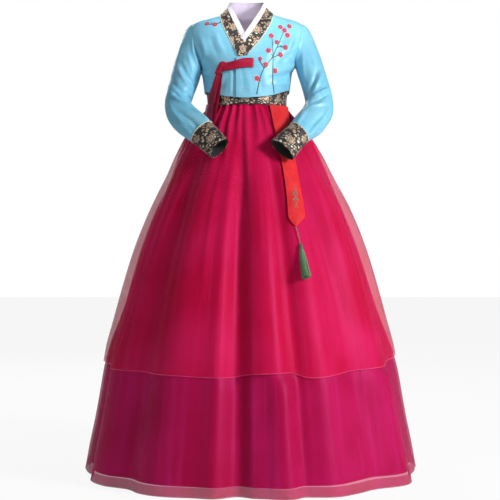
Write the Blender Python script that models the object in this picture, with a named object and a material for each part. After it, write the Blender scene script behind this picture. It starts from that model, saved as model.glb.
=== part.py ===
"""A worn korean hanbok with no wearer: a short jacket (jeogori) over a full two-tier skirt (chima).

Every cut piece is its own closed wall of cloth. The jacket and its bands are laid out on one torso
form, the skirts on one bell, and the sleeves are lofted from the armholes.
Origin: between the wearer's shoulders, where the neckline meets the shoulder seams.
X runs to the wearer's left, -Y is the front, +Z is up. Metres; the tables are in millimetres.
"""

import math

import bpy
import numpy as np

MM = 0.001

# Driving dimensions (millimetres)
CLOTH = 1.2  # wall of every cloth piece
BAND = 1.5  # wall of the collar, which is stiffened
SEAM = 0.3  # gap between pieces that are sewn together
TORSO_X = -3.0  # middle of the jacket
SKIRT_X = 4.0  # middle of the skirt
BODY_POWER = 2.3  # squareness of the torso's horizontal section, 2 is an ellipse
OVERLAP_LIFT = 4.6  # how far the left front stands off the right front it crosses
COLLAR_LIFT = 0.6
WAIST_LIFT = -4.2  # the waistband lies inside the jacket
NECK_EDGE_STEPS = 7  # rows of each front along the collar seam
BACK_NECK_STEPS = 6  # columns of each back panel
ARMHOLE_STEPS = 8  # rows of each panel along the armhole
SIDE_STEPS = 3  # rows of each panel along the side seam
PANEL_STEPS = 6  # columns of each front panel
SHOULDER_Z = -22.0
UNDERARM_Z = {1: -150.0, -1: -168.0}  # the wearer's left arm is held a little higher than the right
ARMHOLE_REACH = 30.0  # degrees that the armhole bites into the front and the back
HEM_SIDE_Z = -225.0
HEM_BACK_Z = -231.0
SHOULDER_STEPS = 3  # rows of each back panel along the shoulder seam
ARMHOLE_GAP = 1.0
ELBOW_RING = 5  # ring of the sleeve where its upper and lower halves meet
NECK_INSIDE = (0, 0, -40)  # a point inside the neck
GATHERS = 20  # pleats sewn into the waistband
GATHER_DEPTH = 3.0
GATHER_FADE = 150.0  # how far down the gathers fade out
SKIRT_COLUMNS = 56
CORD_RADIUS = 1.1

# Horizontal section of the torso at each height
TORSO = (  # z, half width, front depth, back depth
    (-300, 117, 112, 88),
    (-268, 118, 115, 91),
    (-240, 119.5, 117, 94),
    (-220, 123.5, 119, 97),
    (-197, 126.5, 120, 99),
    (-168, 130.5, 118, 101),
    (-154, 137, 116, 102),
    (-130, 150, 111, 102),
    (-107, 163, 104, 101),
    (-84, 171, 97, 98),
    (-55, 172, 87, 92),
    (-35, 166, 78, 84),
    (-22, 151, 70, 77),
    (-17, 136, 67, 74),
    (-9, 107, 62, 69),
    (0, 78, 55, 62),
)

# The collar's sewn edge down the front, and its free edge; reach is from the front end to the shoulder
COLLAR_OVER = (  # reach, seam x, seam z, free x, free y, free z, hug (1 lies on the torso form)
    (0.00, -1.8, -131, -39.5, -102, -105.5, 1.0),
    (0.25, 24.5, -98.5, -15.5, -95, -74.6, 1.0),
    (0.50, 50.3, -61.6, 9.5, -78, -37.1, 1.0),
    (0.75, 64.6, -33.4, 26.0, -56, -9.0, 0.5),
    (1.00, 75.0, 0, 43.4, -14, 31.2, 0.0),
)
COLLAR_UNDER = (  # the same, on the wearer's right, which passes under
    (0.00, -22.5, -141, 17.1, -104, -118.6, 1.0),
    (0.25, -42.5, -100.7, -2.7, -94, -77.2, 1.0),
    (0.50, -62.5, -60, -21.3, -76, -36.0, 1.0),
    (0.75, -75.5, -28, -35.3, -56, -6.0, 0.5),
    (1.00, -81.0, 0, -50.0, -14, 31.2, 0.0),
)
COLLAR_BACK = (  # turn from the side to the nape, free edge
    (0, 47.0, -14, 31.2),
    (22, 49.0, 10, 39.0),
    (45, 43.0, 32, 43.5),
    (70, 24.0, 47, 45.5),
    (90, 0.0, 52, 46.0),
)
COLLAR_SHARES = (0.006, 0.34, 0.68, 0.84, 1.0)  # columns across the collar, from its seam
COLLAR_END_DROP = (0, -10.5, -18.0, -9.5, 0)  # the squared end of the left half, below a straight cut
STRIP_SHARES = (2, 5)  # the white strip covers the collar's last three columns
STRIP_ROWS = (2, -2)  # it stops short of the collar's two ends
STRIP_LIFT = 1.4
STRIP_WALL = 1.0
LINING_DEPTH = 4.4
LINING_TURNS = (120, 240, 9)  # from, to, columns
LINING_HEIGHTS = (-90.0, -60.0, -35.0, -18.0, -8.0)

# Front edges below the collar, from the hem up
LEFT_FRONT_EDGE = ((-32.2, -248.5), (-32.6, -211), (-32.8, -173), (-32.4, -136))  # x, z
RIGHT_FRONT_EDGE = ((22, -247), (14, -215), (4, -182), (-8, -152))  # x, z
FRONT_HEM = ((-120, -226), (-74, -242), (-6, -249), (62, -242), (116, -222))  # x, z

# Sleeves: each row is a section, outer and inner edge as seen from the front
SLEEVE_RIGHT = (  # outer x, outer z, inner x, inner z, middle y, half depth
    (-177, -37, -138.5, -172, 0, 56),
    (-204, -109, -140, -185, -10, 54),
    (-215, -148, -143.5, -200, -20, 51),
    (-232.5, -225.5, -156.5, -238.5, -44, 45),
    (-237.5, -258.5, -162.5, -258.5, -56, 42),
    (-233.5, -291, -153.5, -273, -76, 39),
    (-221, -319, -138.5, -287.5, -101, 34),
    (-196, -348.5, -119.5, -304, -131, 28),
    (-156, -378, -101, -322.5, -160, 25),
)
CUFF_RIGHT = (
    (-128.5, -401, -78, -348, -184, 23),
    (-102, -424, -55, -374, -207, 21),
)
SLEEVE_LEFT = (
    (174, -38, 143, -161, 0, 54),
    (204, -106, 145, -177, -10, 54),
    (216.5, -145, 151, -198, -20, 51),
    (238, -222.5, 161.5, -240, -44, 45),
    (243, -258.5, 163, -258.5, -56, 42),
    (241, -294, 155.5, -275.5, -76, 39),
    (227, -320, 143, -293, -101, 34),
    (204, -351, 129, -309.5, -131, 28),
    (166, -377.5, 119.5, -326, -160, 25),
)
CUFF_LEFT = (
    (145, -403, 92, -351.5, -184, 23),
    (124.5, -429, 64, -377, -207, 21),
)
RING = 2 * ARMHOLE_STEPS

WAISTBAND_LOW = (  # turn, z of the lower edge
    (-180, -273), (-90, -280), (-45, -270.5), (0, -267.5), (45, -268), (90, -275), (180, -273),
)
WAISTBAND_TOP = -198.0
WAIST_COLUMNS = 40
WAIST_Z = -268.0  # where the skirt is sewn on in front

# The bell of the overskirt: the outer face of the short tier
BELL = (  # z, half width, front depth, back depth
    (-1330, 470, 456, 458),
    (-1305, 466, 452, 454),
    (-1235, 454, 440, 443),
    (-1166, 440, 426, 431),
    (-1096, 428, 413, 418),
    (-1010, 415, 398, 403),
    (-957, 406, 388, 394),
    (-887, 387, 370, 377),
    (-818, 368, 350, 357),
    (-748, 348, 328, 335),
    (-679, 326, 304, 309),
    (-609, 300, 276, 278),
    (-539, 271, 244, 242),
    (-470, 239, 210, 203),
    (-400, 205, 178, 164),
    (-331, 165, 143, 124),
    (-290, 130.5, 118.5, 97.5),
    (-265, 113.4, 110.4, 86.4),
)
SECTION_POWER = ((-1330, 2.0), (-400, 2.0), (-290, 2.25), (-265, 2.3))  # z, squareness

# Gap from the short tier's outer face in to each layer under it
UNDER_SHORT = (  # z, long tier, lining
    (-1330, 0, 6),
    (-1030, 4, 10),
    (-957, 10, 15),
    (-818, 23, 28),
    (-679, 26, 31),
    (-539, 22, 27),
    (-400, 9, 14),
    (-331, 5, 9),
    (-265, 2.6, 5.2),
)

# Large folds shared by every layer: turns are degrees from the front towards the wearer's left
SHARED_FOLDS = (  # turn at the waist, turn at the hem, width, height out
    (-10, -10, 4.5, 9),
    (-6, -4, 5.5, -20),
    (8, 10, 7, 12),
    (15, 18, 4, -8),
    (24, 28, 7, 12),
    (33, 47, 6, -17),
    (50, 60, 8, 10),
    (70, 76, 6, -8),
    (-26, -26, 9, 8),
    (-40, -45, 7, -15),
    (-58, -60, 8, 8),
    (-74, -73, 5, -9),
    (95, 97, 9, 9),
    (112, 114, 7, -13),
    (130, 132, 8, 13),
    (149, 150, 6, -14),
    (166, 166, 7, 12),
    (181, 182, 6, -14),
    (197, 198, 8, 13),
    (216, 217, 7, -13),
    (235, 234, 8, 12),
    (252, 253, 6, -10),
    (268, 267, 8, 8),
)
# Folds that only the long tier and its lining have, below the short tier
LONG_FOLDS = (
    (4, 7, 5, -8),
    (13, 13, 5, 12),
    (22, 20, 5, -10),
    (44, 44, 6, -6),
    (62, 60, 6, 8),
)
FOLD_START = -300.0
FOLD_FULL = -680.0
LONG_FOLD_START = -880.0
LONG_FOLD_FULL = -1080.0

SHORT_HEM = (  # turn, z
    (-180, -995), (-135, -999), (-90, -998), (-60, -1006), (-30, -1009), (-7, -1013), (2, -1002),
    (14, -1000), (22, -1014), (36, -1006), (55, -998), (75, -987), (90, -981), (135, -986), (180, -995),
)
LONG_HEM = (
    (-180, -1312), (-90, -1308), (-65, -1314), (-40, -1319), (0, -1317), (40, -1319), (65, -1315),
    (90, -1309), (180, -1312),
)
LINING_HEM = ((-180, -1288), (-90, -1282), (-40, -1291), (0, -1291), (40, -1288), (90, -1283), (180, -1288))

# Each row of a skirt's mesh, as a share of its height
SHORT_ROWS = (0, 0.045, 0.13, 0.28, 0.5, 0.75, 1)
LONG_ROWS = (0, 0.035, 0.1, 0.22, 0.4, 0.6, 0.8, 1)  # the lining's too

# Ribbon: one loop, a knot and two tails
LOOP_PATH = (  # x, lift of the middle of the cloth off the torso form
    (-61, 6.2), (-42, 6.2), (-18, 6.2), (4, 6.3), (13, 7.2), (16.5, 9.1),
    (13, 11.0), (4, 11.9), (-18, 12.0), (-42, 11.6), (-61, 10.8),
)
LOOP_MIDDLE = ((-66, -164.5), (-35, -159), (-10, -154), (17, -153))  # x, z
LOOP_WIDTH = 25.0
KNOT = (  # height along the knot, half width, half thickness
    (-1.0, 5.5, 3.4), (-0.9, 7.4, 4.6), (-0.5, 8.0, 5.4), (0, 7.4, 5.6),
    (0.5, 7.0, 5.3), (0.9, 6.4, 4.4), (1.0, 4.8, 3.2),
)
KNOT_MIDDLE = (-75.0, -165.0)
KNOT_HALF = 16.5
KNOT_LEAN = 7.0  # how far the knot's top leans towards the wearer's left
KNOT_LIFT = 7.4
TAIL_LONG = (  # middle x, z, width
    (-80, -183, 17), (-86, -198, 19), (-91.5, -218, 20), (-97, -240, 21), (-100.5, -262, 21),
    (-103, -280, 22), (-107, -300, 22), (-111, -322, 22), (-114, -345, 22),
)
TAIL_SHORT = (
    (-73, -184, 12), (-78, -200, 16), (-83, -220, 18), (-87.5, -242, 19), (-90, -262, 19),
    (-92, -280, 19), (-96, -300, 19), (-100, -320, 19), (-103, -336, 19),
)
TAIL_LONG_LIFT = 6.4
TAIL_SHORT_LIFT = 3.4

SASH = (  # z, left edge x, right edge x
    (-270, 59.5, 111), (-300, 65, 114), (-340, 73, 118.5), (-385, 82.5, 125), (-430, 91, 131),
    (-475, 98.5, 137.5), (-520, 104.5, 143.5), (-560, 108, 149.5), (-587, 110, 152.5), (-603, 117, 142),
    (-615, 127, 131),
)
SASH_LIFT = 5.0
SASH_POINTS = 4
SASH_CORD = ((129, -617.5), (131.5, -627), (134, -636), (136, -645), (138, -654), (139.5, -662))  # x, z
TASSEL_TOP = (139.6, -664)  # x, z
TASSEL_END = (152, -758)
TASSEL = (  # share of the length, radius
    (0, 1.6), (0.03, 4.2), (0.08, 5.4), (0.14, 4.6), (0.18, 3.6), (0.22, 6.2), (0.4, 8.6), (0.7, 11.2),
    (0.97, 13.2), (1, 12.4),
)
TASSEL_SIDES = 12
KNOT_SIDES = 12

BLUE = (0.25, 0.66, 0.86)
BROCADE = (0.05, 0.04, 0.03)
CRIMSON = (0.4, 0.01, 0.05)
LAVENDER = (0.45, 0.39, 0.5)


def monotone(rows, column, at):
    """The table's column at the places `at` of its first column, on a cubic that never overshoots."""
    table = np.array(rows, float)
    xs, ys = table[:, 0], table[:, column]
    at = np.clip(np.asarray(at, float), xs[0], xs[-1])
    step = np.diff(xs)
    slope = np.diff(ys) / step
    ends = slope[:-1] * slope[1:]
    both = slope[:-1] + slope[1:]
    inner = np.where(ends > 0, 2 * ends / np.where(both == 0, 1, both), 0)
    lean = np.concatenate([[slope[0]], inner, [slope[-1]]])
    k = np.clip(np.searchsorted(xs, at, side="right") - 1, 0, len(step) - 1)
    t = (at - xs[k]) / step[k]
    return (
        ys[k] * (1 + 2 * t) * (1 - t) ** 2
        + ys[k + 1] * t**2 * (3 - 2 * t)
        + step[k] * (lean[k] * t * (1 - t) ** 2 - lean[k + 1] * t**2 * (1 - t))
    )


def smooth_step(value):
    value = np.clip(value, 0, 1)
    return value * value * (3 - 2 * value)


# The torso form


def section(turn, half_width, front, back, power):
    """Offsets x, y of a rounded section at each turn from the front."""
    s, c = np.sin(np.radians(turn)), np.cos(np.radians(turn))
    x = half_width * np.sign(s) * np.abs(s) ** (2 / power)
    depth = np.where(c >= 0, front, back)
    return x, -depth * np.sign(c) * np.abs(c) ** (2 / power)


def torso_skin(turn, z):
    x, y = section(turn, monotone(TORSO, 1, z), monotone(TORSO, 2, z), monotone(TORSO, 3, z), BODY_POWER)
    return np.stack([TORSO_X + x, y, np.asarray(z, float) + 0 * x], axis=-1)


def on_torso(turn, z, lift=0.0):
    """Points on the torso form, `lift` outside it."""
    turn, z = np.broadcast_arrays(np.asarray(turn, float), np.asarray(z, float))
    step = 0.5
    around = torso_skin(turn + step, z) - torso_skin(turn - step, z)
    up = torso_skin(turn, np.minimum(z + step, 0)) - torso_skin(turn, z - step)
    out = np.cross(around, up)
    out /= np.linalg.norm(out, axis=-1, keepdims=True)
    return torso_skin(turn, z) + out * np.asarray(lift, float)[..., None]


def torso_turn(x, z):
    """The turn at which the front of the torso form is at x."""
    share = (np.asarray(x, float) - TORSO_X) / monotone(TORSO, 1, z)
    share = np.clip(share, -1, 1)
    return np.degrees(np.arcsin(np.sign(share) * np.abs(share) ** (BODY_POWER / 2)))


def overlap_lift(x):
    return OVERLAP_LIFT * (1 - smooth_step((np.asarray(x, float) - 20) / 80))


def armhole(side, face):
    """Turns and heights down one armhole from the shoulder; face is 1 in front, -1 behind."""
    t = np.linspace(0, math.pi, ARMHOLE_STEPS + 1)
    bite = ARMHOLE_REACH * np.abs(np.sin(t)) ** 0.6
    middle, half = (SHOULDER_Z + UNDERARM_Z[side]) / 2, (SHOULDER_Z - UNDERARM_Z[side]) / 2
    return side * (90 - face * bite), middle + half * np.cos(t)


# Meshes


def finish_mesh(name, verts, faces, color, roughness, metallic=0.0):
    """Links a mesh as an object with its own material, faces out."""
    verts = np.asarray(verts, float) * MM
    triangles = [(f[0], f[i], f[i + 1]) for f in faces for i in range(1, len(f) - 1)]
    corners = verts[np.array(triangles)]
    volume = np.einsum("ij,ij->i", corners[:, 0], np.cross(corners[:, 1], corners[:, 2])).sum()
    if volume < 0:
        faces = [tuple(reversed(f)) for f in faces]
    mesh = bpy.data.meshes.new(name)
    mesh.from_pydata([tuple(v) for v in verts], [], faces)
    mesh.shade_smooth()
    mesh.set_sharp_from_angle(angle=math.radians(50))
    return add_object(name, mesh, color, roughness, metallic)


def add_object(name, data, color, roughness, metallic=0.0):
    material = bpy.data.materials.new(name)
    material.use_nodes = True
    shader = material.node_tree.nodes["Principled BSDF"]
    shader.inputs["Base Color"].default_value = (*color, 1)
    shader.inputs["Roughness"].default_value = roughness
    shader.inputs["Metallic"].default_value = metallic
    data.materials.append(material)
    thing = bpy.data.objects.new(name, data)
    bpy.context.scene.collection.objects.link(thing)
    return thing


def grid_normals(grid, wrap):
    """Unit normals of a grid of points; rows run along axis 0, and axis 1 wraps round when asked."""
    if wrap:
        along = np.roll(grid, -1, axis=1) - np.roll(grid, 1, axis=1)
    else:
        along = np.gradient(grid, axis=1)
    normal = np.cross(np.gradient(grid, axis=0), along)
    return normal / np.linalg.norm(normal, axis=-1, keepdims=True)


def wall(name, outer, inner, color, roughness, wrap=False):
    """A closed wall of cloth between two grids of points; axis 1 closes on itself when wrap is set."""
    rows, columns = outer.shape[:2]
    under = rows * columns
    spans = columns if wrap else columns - 1

    def corner(r, c, face):
        return face * under + r * columns + c % columns

    def rim(a, b):
        return (corner(*a, 0), corner(*b, 0), corner(*b, 1), corner(*a, 1))

    faces = []
    for r in range(rows - 1):
        for c in range(spans):
            for half in (((r, c), (r, c + 1), (r + 1, c + 1)), ((r, c), (r + 1, c + 1), (r + 1, c))):
                faces.append(tuple(corner(i, j, 0) for i, j in half))
                faces.append(tuple(corner(i, j, 1) for i, j in reversed(half)))
    for c in range(spans):
        faces.append(rim((0, c + 1), (0, c)))
        faces.append(rim((rows - 1, c), (rows - 1, c + 1)))
    if not wrap:
        for r in range(rows - 1):
            faces.append(rim((r, 0), (r + 1, 0)))
            faces.append(rim((r + 1, columns - 1), (r, columns - 1)))
    verts = np.concatenate([outer.reshape(-1, 3), inner.reshape(-1, 3)])
    return finish_mesh(name, verts, faces, color, roughness)


def moved_out(grid, distance, inside):
    """The grid moved along its normals, away from the point `inside`."""
    normal = grid_normals(grid, False)
    if np.einsum("ijk,ijk->", normal, grid - np.array(inside, float)) < 0:
        normal = -normal
    return grid + normal * distance


def tube_inside(rings):
    """The inner face of a wall of cloth whose outer face is a tube of rings."""
    normal = grid_normals(rings, True)
    if np.einsum("ijk,ijk->", normal, rings - rings.mean(axis=1, keepdims=True)) < 0:
        normal = -normal
    return rings - normal * CLOTH


def rings_solid(name, rings, color, roughness):
    """A solid lofted through rings, with flat ends."""
    count, sides = rings.shape[:2]
    faces = [tuple(range(sides))[::-1], tuple((count - 1) * sides + i for i in range(sides))]
    for r in range(count - 1):
        for c in range(sides):
            n = (c + 1) % sides
            faces.append((r * sides + c, r * sides + n, (r + 1) * sides + n, (r + 1) * sides + c))
    return finish_mesh(name, rings.reshape(-1, 3), faces, color, roughness)


def pair(first, second):
    return np.stack(np.broadcast_arrays(first, second), axis=-1)


def patch(left, right, low, high):
    """A grid between four edges of (turn, z): rows run from low to high, columns from left to right."""
    u = np.linspace(0, 1, len(low))[None, :, None]
    v = np.linspace(0, 1, len(left))[:, None, None]
    sides = left[:, None] * (1 - u) + right[:, None] * u
    ends = low[None] * (1 - v) + high[None] * v
    corners = (low[0] * (1 - u) + low[-1] * u) * (1 - v) + (high[0] * (1 - u) + high[-1] * u) * v
    return sides + ends - corners


def drawn_back(grid):
    """Pulls the two side edges and the top edge of a panel back by half the seam gap."""
    grid = grid.copy()
    for edge, inner in ((np.s_[:, 0], np.s_[:, 1]), (np.s_[:, -1], np.s_[:, -2]), (np.s_[-1], np.s_[-2])):
        way = grid[inner] - grid[edge]
        grid[edge] += way / np.linalg.norm(way, axis=-1, keepdims=True) * SEAM / 2
    return grid


def panel(name, flat, lift):
    """A jacket panel: a grid of (turn, z) laid on the torso form."""
    turn, z = flat[..., 0], flat[..., 1]
    outer = drawn_back(on_torso(turn, z, lift))
    inner = drawn_back(on_torso(turn, z, lift - CLOTH))
    wall(name, outer, inner, BLUE, 0.45)


# The jacket


def side_edge(side, face, top):
    """A panel's edge up the side seam, round the armhole and on through the heights `top`."""
    below = np.linspace(HEM_SIDE_Z, UNDERARM_Z[side], SIDE_STEPS + 1)[:-1]
    hole = pair(*armhole(side, face))[::-1]
    return np.concatenate([pair(side * 90, below), hole, pair(side * 90, np.asarray(top, float))])


def front_panel(name, side, edge, neck_turn, neck_z):
    edge = np.array(edge, float)
    left = np.concatenate([pair(torso_turn(edge[:, 0], edge[:, 1]), edge[:, 1]), pair(neck_turn, neck_z)])
    right = side_edge(side, 1, ())
    across = np.linspace(0, 1, PANEL_STEPS + 1)
    hem_turn = left[0, 0] + (right[0, 0] - left[0, 0]) * across
    hem_x = torso_skin(hem_turn, 0 * hem_turn + HEM_SIDE_Z)[:, 0]
    low = pair(hem_turn, monotone(FRONT_HEM, 1, hem_x))
    low[0], low[-1] = left[0], right[0]
    flat = patch(left, right, low, pair(side * 90, SHOULDER_Z * across))
    x = torso_skin(flat[..., 0], flat[..., 1])[..., 0]
    panel(name, flat, overlap_lift(x) if side > 0 else 0 * x)


def back_panel(name, side):
    right = side_edge(side, -1, np.linspace(SHOULDER_Z, 0, SHOULDER_STEPS + 1)[1:])
    left = pair(side * 180, np.linspace(HEM_BACK_Z, 0, len(right)))
    across = np.linspace(0, 1, BACK_NECK_STEPS + 1)[:, None]
    low = left[0] * (1 - across) + right[0] * across
    high = pair(side * (180 - 90 * across[:, 0]), 0)
    flat = patch(left, right, low, high)
    panel(name, flat, 0 * flat[..., 0])


def collar_half(table, side):
    """One half of the collar, from its front end to the nape, and the turns and heights of its seam."""
    reach = np.arange(NECK_EDGE_STEPS + 1) / NECK_EDGE_STEPS
    seam_x, seam_z, free_x, free_y, free_z, hug = (monotone(table, k, reach) for k in range(1, 7))
    turn = torso_turn(seam_x, seam_z)
    turn[-1] = side * 90

    def lift(x):
        return COLLAR_LIFT + (overlap_lift(x) if side > 0 else 0 * x)

    bend = np.linspace(0, 90, BACK_NECK_STEPS + 1)[1:]
    sewn = np.concatenate([
        on_torso(turn, seam_z, lift(seam_x)),
        on_torso(side * (90 + bend), 0 * bend, COLLAR_LIFT),
    ])
    nape = [monotone(COLLAR_BACK, k, bend) for k in (1, 2, 3)]
    to_middle = 1 - bend / 90
    nape_x = TORSO_X + side * nape[0] + (free_x[-1] - TORSO_X - side * COLLAR_BACK[0][1]) * to_middle
    free = np.concatenate([
        np.stack([free_x, free_y, free_z], axis=-1),
        np.stack([nape_x, nape[1], nape[2]], axis=-1),
    ])
    share = np.array(COLLAR_SHARES)[None, :, None]
    straight = sewn[:, None] * (1 - share) + free[:, None] * share
    if side > 0:
        straight[0, :, 2] += COLLAR_END_DROP
    x, z = straight[..., 0], np.minimum(straight[..., 2], 0)
    hugging = on_torso(torso_turn(x, z), z, lift(x))
    weight = np.concatenate([hug, 0 * bend])[:, None, None]
    return straight * (1 - weight) + hugging * weight, turn, seam_z


def jacket():
    over, over_turn, over_z = collar_half(COLLAR_OVER, 1)
    under, under_turn, under_z = collar_half(COLLAR_UNDER, -1)
    front_panel("jeogori_front_left", 1, LEFT_FRONT_EDGE, over_turn, over_z)
    front_panel("jeogori_front_right", -1, RIGHT_FRONT_EDGE, under_turn, under_z)
    back_panel("jeogori_back_left", 1)
    back_panel("jeogori_back_right", -1)

    band = np.concatenate([over, under[-2::-1]])
    wall("collar_band", band, moved_out(band, -BAND, NECK_INSIDE), BROCADE, 0.4)
    rows, columns = slice(*STRIP_ROWS), slice(*STRIP_SHARES)
    strip_out = moved_out(band, STRIP_LIFT, NECK_INSIDE)[rows, columns]
    strip_in = moved_out(band, STRIP_LIFT - STRIP_WALL, NECK_INSIDE)[rows, columns]
    wall("collar_strip", strip_out, strip_in, (0.9, 0.88, 0.9), 0.6)

    nape = len(over) - 1
    half = LINING_TURNS[2] // 2
    turns = np.linspace(*LINING_TURNS)
    lower = on_torso(turns[:, None], np.array(LINING_HEIGHTS)[None], 0.0)
    lining = np.concatenate([lower, band[nape - half:nape + half + 1, :4]], axis=1)
    outer = moved_out(lining, -LINING_DEPTH, NECK_INSIDE)
    inner = moved_out(lining, -LINING_DEPTH - CLOTH, NECK_INSIDE)
    wall("neck_lining", outer, inner, LAVENDER, 0.7)


def tube_rings(table):
    """Rings of a sleeve: each is an ellipse square to the arm between the row's two edges."""
    rows = np.array(table, float)
    outer = rows[:, (0, 4, 1)]
    inner = rows[:, (2, 4, 3)]
    middle = (outer + inner) / 2
    along = np.gradient(middle, axis=0)
    along /= np.linalg.norm(along, axis=-1, keepdims=True)
    across = (outer - inner) / 2
    deep = np.cross(along, across)
    deep /= np.linalg.norm(deep, axis=-1, keepdims=True)
    deep *= np.sign(-deep[:, 1:2]) * rows[:, 5:6]
    t = np.linspace(0, 2 * math.pi, RING, endpoint=False)[None, :, None]
    return middle[:, None] + across[:, None] * np.cos(t) + deep[:, None] * np.sin(t)


def sleeves():
    for side, word, sleeve, cuff in (
        (-1, "right", SLEEVE_RIGHT, CUFF_RIGHT),
        (1, "left", SLEEVE_LEFT, CUFF_LEFT),
    ):
        turn, z = (np.concatenate([a, b[-2:0:-1]]) for a, b in zip(armhole(side, 1), armhole(side, -1)))
        hole = on_torso(turn, z)
        way = on_torso(side * 90, z.mean()) - hole
        way *= ARMHOLE_GAP / np.linalg.norm(way, axis=-1, keepdims=True)
        rings = tube_rings(sleeve + cuff)
        last = len(sleeve)
        upper = np.concatenate([[hole + way], rings[:last]])
        inner = tube_inside(upper)
        inner[0] = on_torso(turn, z, -CLOTH) + way
        elbow = ELBOW_RING + 1
        wall("sleeve_" + word + "_upper", upper[:elbow], inner[:elbow], BLUE, 0.45, wrap=True)
        for face in (upper, inner):
            way = face[elbow] - face[elbow - 1]
            face[elbow - 1] += way / np.linalg.norm(way, axis=-1, keepdims=True) * SEAM
        wall("sleeve_" + word + "_lower", upper[elbow - 1:], inner[elbow - 1:], BLUE, 0.45, wrap=True)
        wrist = rings[last - 1:]
        away = wrist[1] - wrist[0]
        wrist[0] += away / np.linalg.norm(away, axis=-1, keepdims=True) * ARMHOLE_GAP
        wall("cuff_" + word, wrist, tube_inside(wrist), BROCADE, 0.4, wrap=True)


# The skirt


def folds(table, turn, z, start, full):
    """How far the folds push the cloth out at each turn and height."""
    down = np.clip((FOLD_START - z) / 1000, 0, 1)
    total = 0 * turn
    for at_waist, at_hem, width, height in table:
        middle = at_waist + (at_hem - at_waist) * down
        away = (turn - middle + 180) % 360 - 180
        total = total + height * np.exp(-((away / width) ** 2))
    return total * smooth_step((start - z) / (start - full))


def bell_skin(turn, z, inset, is_long, gathered=True):
    """Outer face of a layer of the skirt, `inset` inside the bell."""
    half_width, front, back = (monotone(BELL, k, z) - inset for k in (1, 2, 3))
    x, y = section(turn, half_width, front, back, monotone(SECTION_POWER, 1, z))
    out = folds(SHARED_FOLDS, turn, z, FOLD_START, FOLD_FULL)
    if is_long:
        out = out + folds(LONG_FOLDS, turn, z, LONG_FOLD_START, LONG_FOLD_FULL)
    fade = np.clip(1 - (WAIST_Z - z) / GATHER_FADE, 0, 1)
    wave = np.cos(np.radians(GATHERS * turn)) if gathered else 1.0
    out = out + GATHER_DEPTH * fade * (wave - 1)
    stretch = 1 + out / np.hypot(x, y)
    middle = TORSO_X + (SKIRT_X - TORSO_X) * np.clip((WAIST_Z - z) / 200, 0, 1)
    return np.stack([middle + x * stretch, y * stretch, z + 0 * x], axis=-1)


def on_bell(x, z, lift):
    """The point of the short tier at x and z as seen from the front, `lift` outside its crests."""
    def crest(turn, height):
        return bell_skin(np.array(float(turn)), np.array(float(height)), 0.0, False, gathered=False)

    low, high = -88.0, 88.0
    for _ in range(40):
        turn = (low + high) / 2
        if crest(turn, z)[0] < x:
            low = turn
        else:
            high = turn
    out = np.cross(crest(turn + 0.6, z) - crest(turn - 0.6, z), crest(turn, z + 2) - crest(turn, z - 2))
    return crest(turn, z) + out / np.linalg.norm(out) * lift


def on_front(x, z, lift):
    """The point at x and z on the jacket's front, or below its waist on the skirt."""
    if z > WAIST_Z:
        return on_torso(torso_turn(x, z), z, lift)
    sunk = -WAIST_LIFT * (1 - smooth_step((WAIST_Z - z) / 60))
    return on_bell(x, z, lift + sunk)


def skirt_layer(name, column, hem, rows, color, roughness):
    """One layer of the skirt; column is its gap's place in UNDER_SHORT, 0 for the short tier itself."""
    turn = np.linspace(-180, 180, SKIRT_COLUMNS, endpoint=False)
    top = monotone(WAISTBAND_LOW, 1, turn) - SEAM
    share = np.array(rows)[:, None]
    z = top * (1 - share) + monotone(hem, 1, turn) * share
    inset = monotone(UNDER_SHORT, column, z) if column else 0 * z
    outer = bell_skin(np.broadcast_to(turn, z.shape), z, inset, column > 0)
    wall(name, outer, tube_inside(outer), color, roughness, wrap=True)


def skirt():
    turn = np.linspace(-180, 180, WAIST_COLUMNS, endpoint=False)
    share = np.array((0, 0.5, 1))[:, None]
    z = WAISTBAND_TOP * (1 - share) + monotone(WAISTBAND_LOW, 1, turn) * share
    outer, inner = on_torso(turn, z, WAIST_LIFT), on_torso(turn, z, WAIST_LIFT - BAND)
    wall("chima_waistband", outer, inner, BROCADE, 0.4, wrap=True)
    skirt_layer("skirt_lining", 2, LINING_HEM, LONG_ROWS, (0.36, 0.01, 0.06), 0.35)
    skirt_layer("skirt_long", 1, LONG_HEM, LONG_ROWS, (0.5, 0.02, 0.12), 0.4)
    skirt_layer("skirt_short", 0, SHORT_HEM, SHORT_ROWS, (0.7, 0.03, 0.15), 0.4)


# Ribbon, sash and tassel


def strip(name, grid, inside, color, roughness):
    """A flat band of cloth whose outer face is the grid."""
    grid = np.array(grid)
    wall(name, grid, moved_out(grid, -CLOTH, inside), color, roughness)


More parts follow.
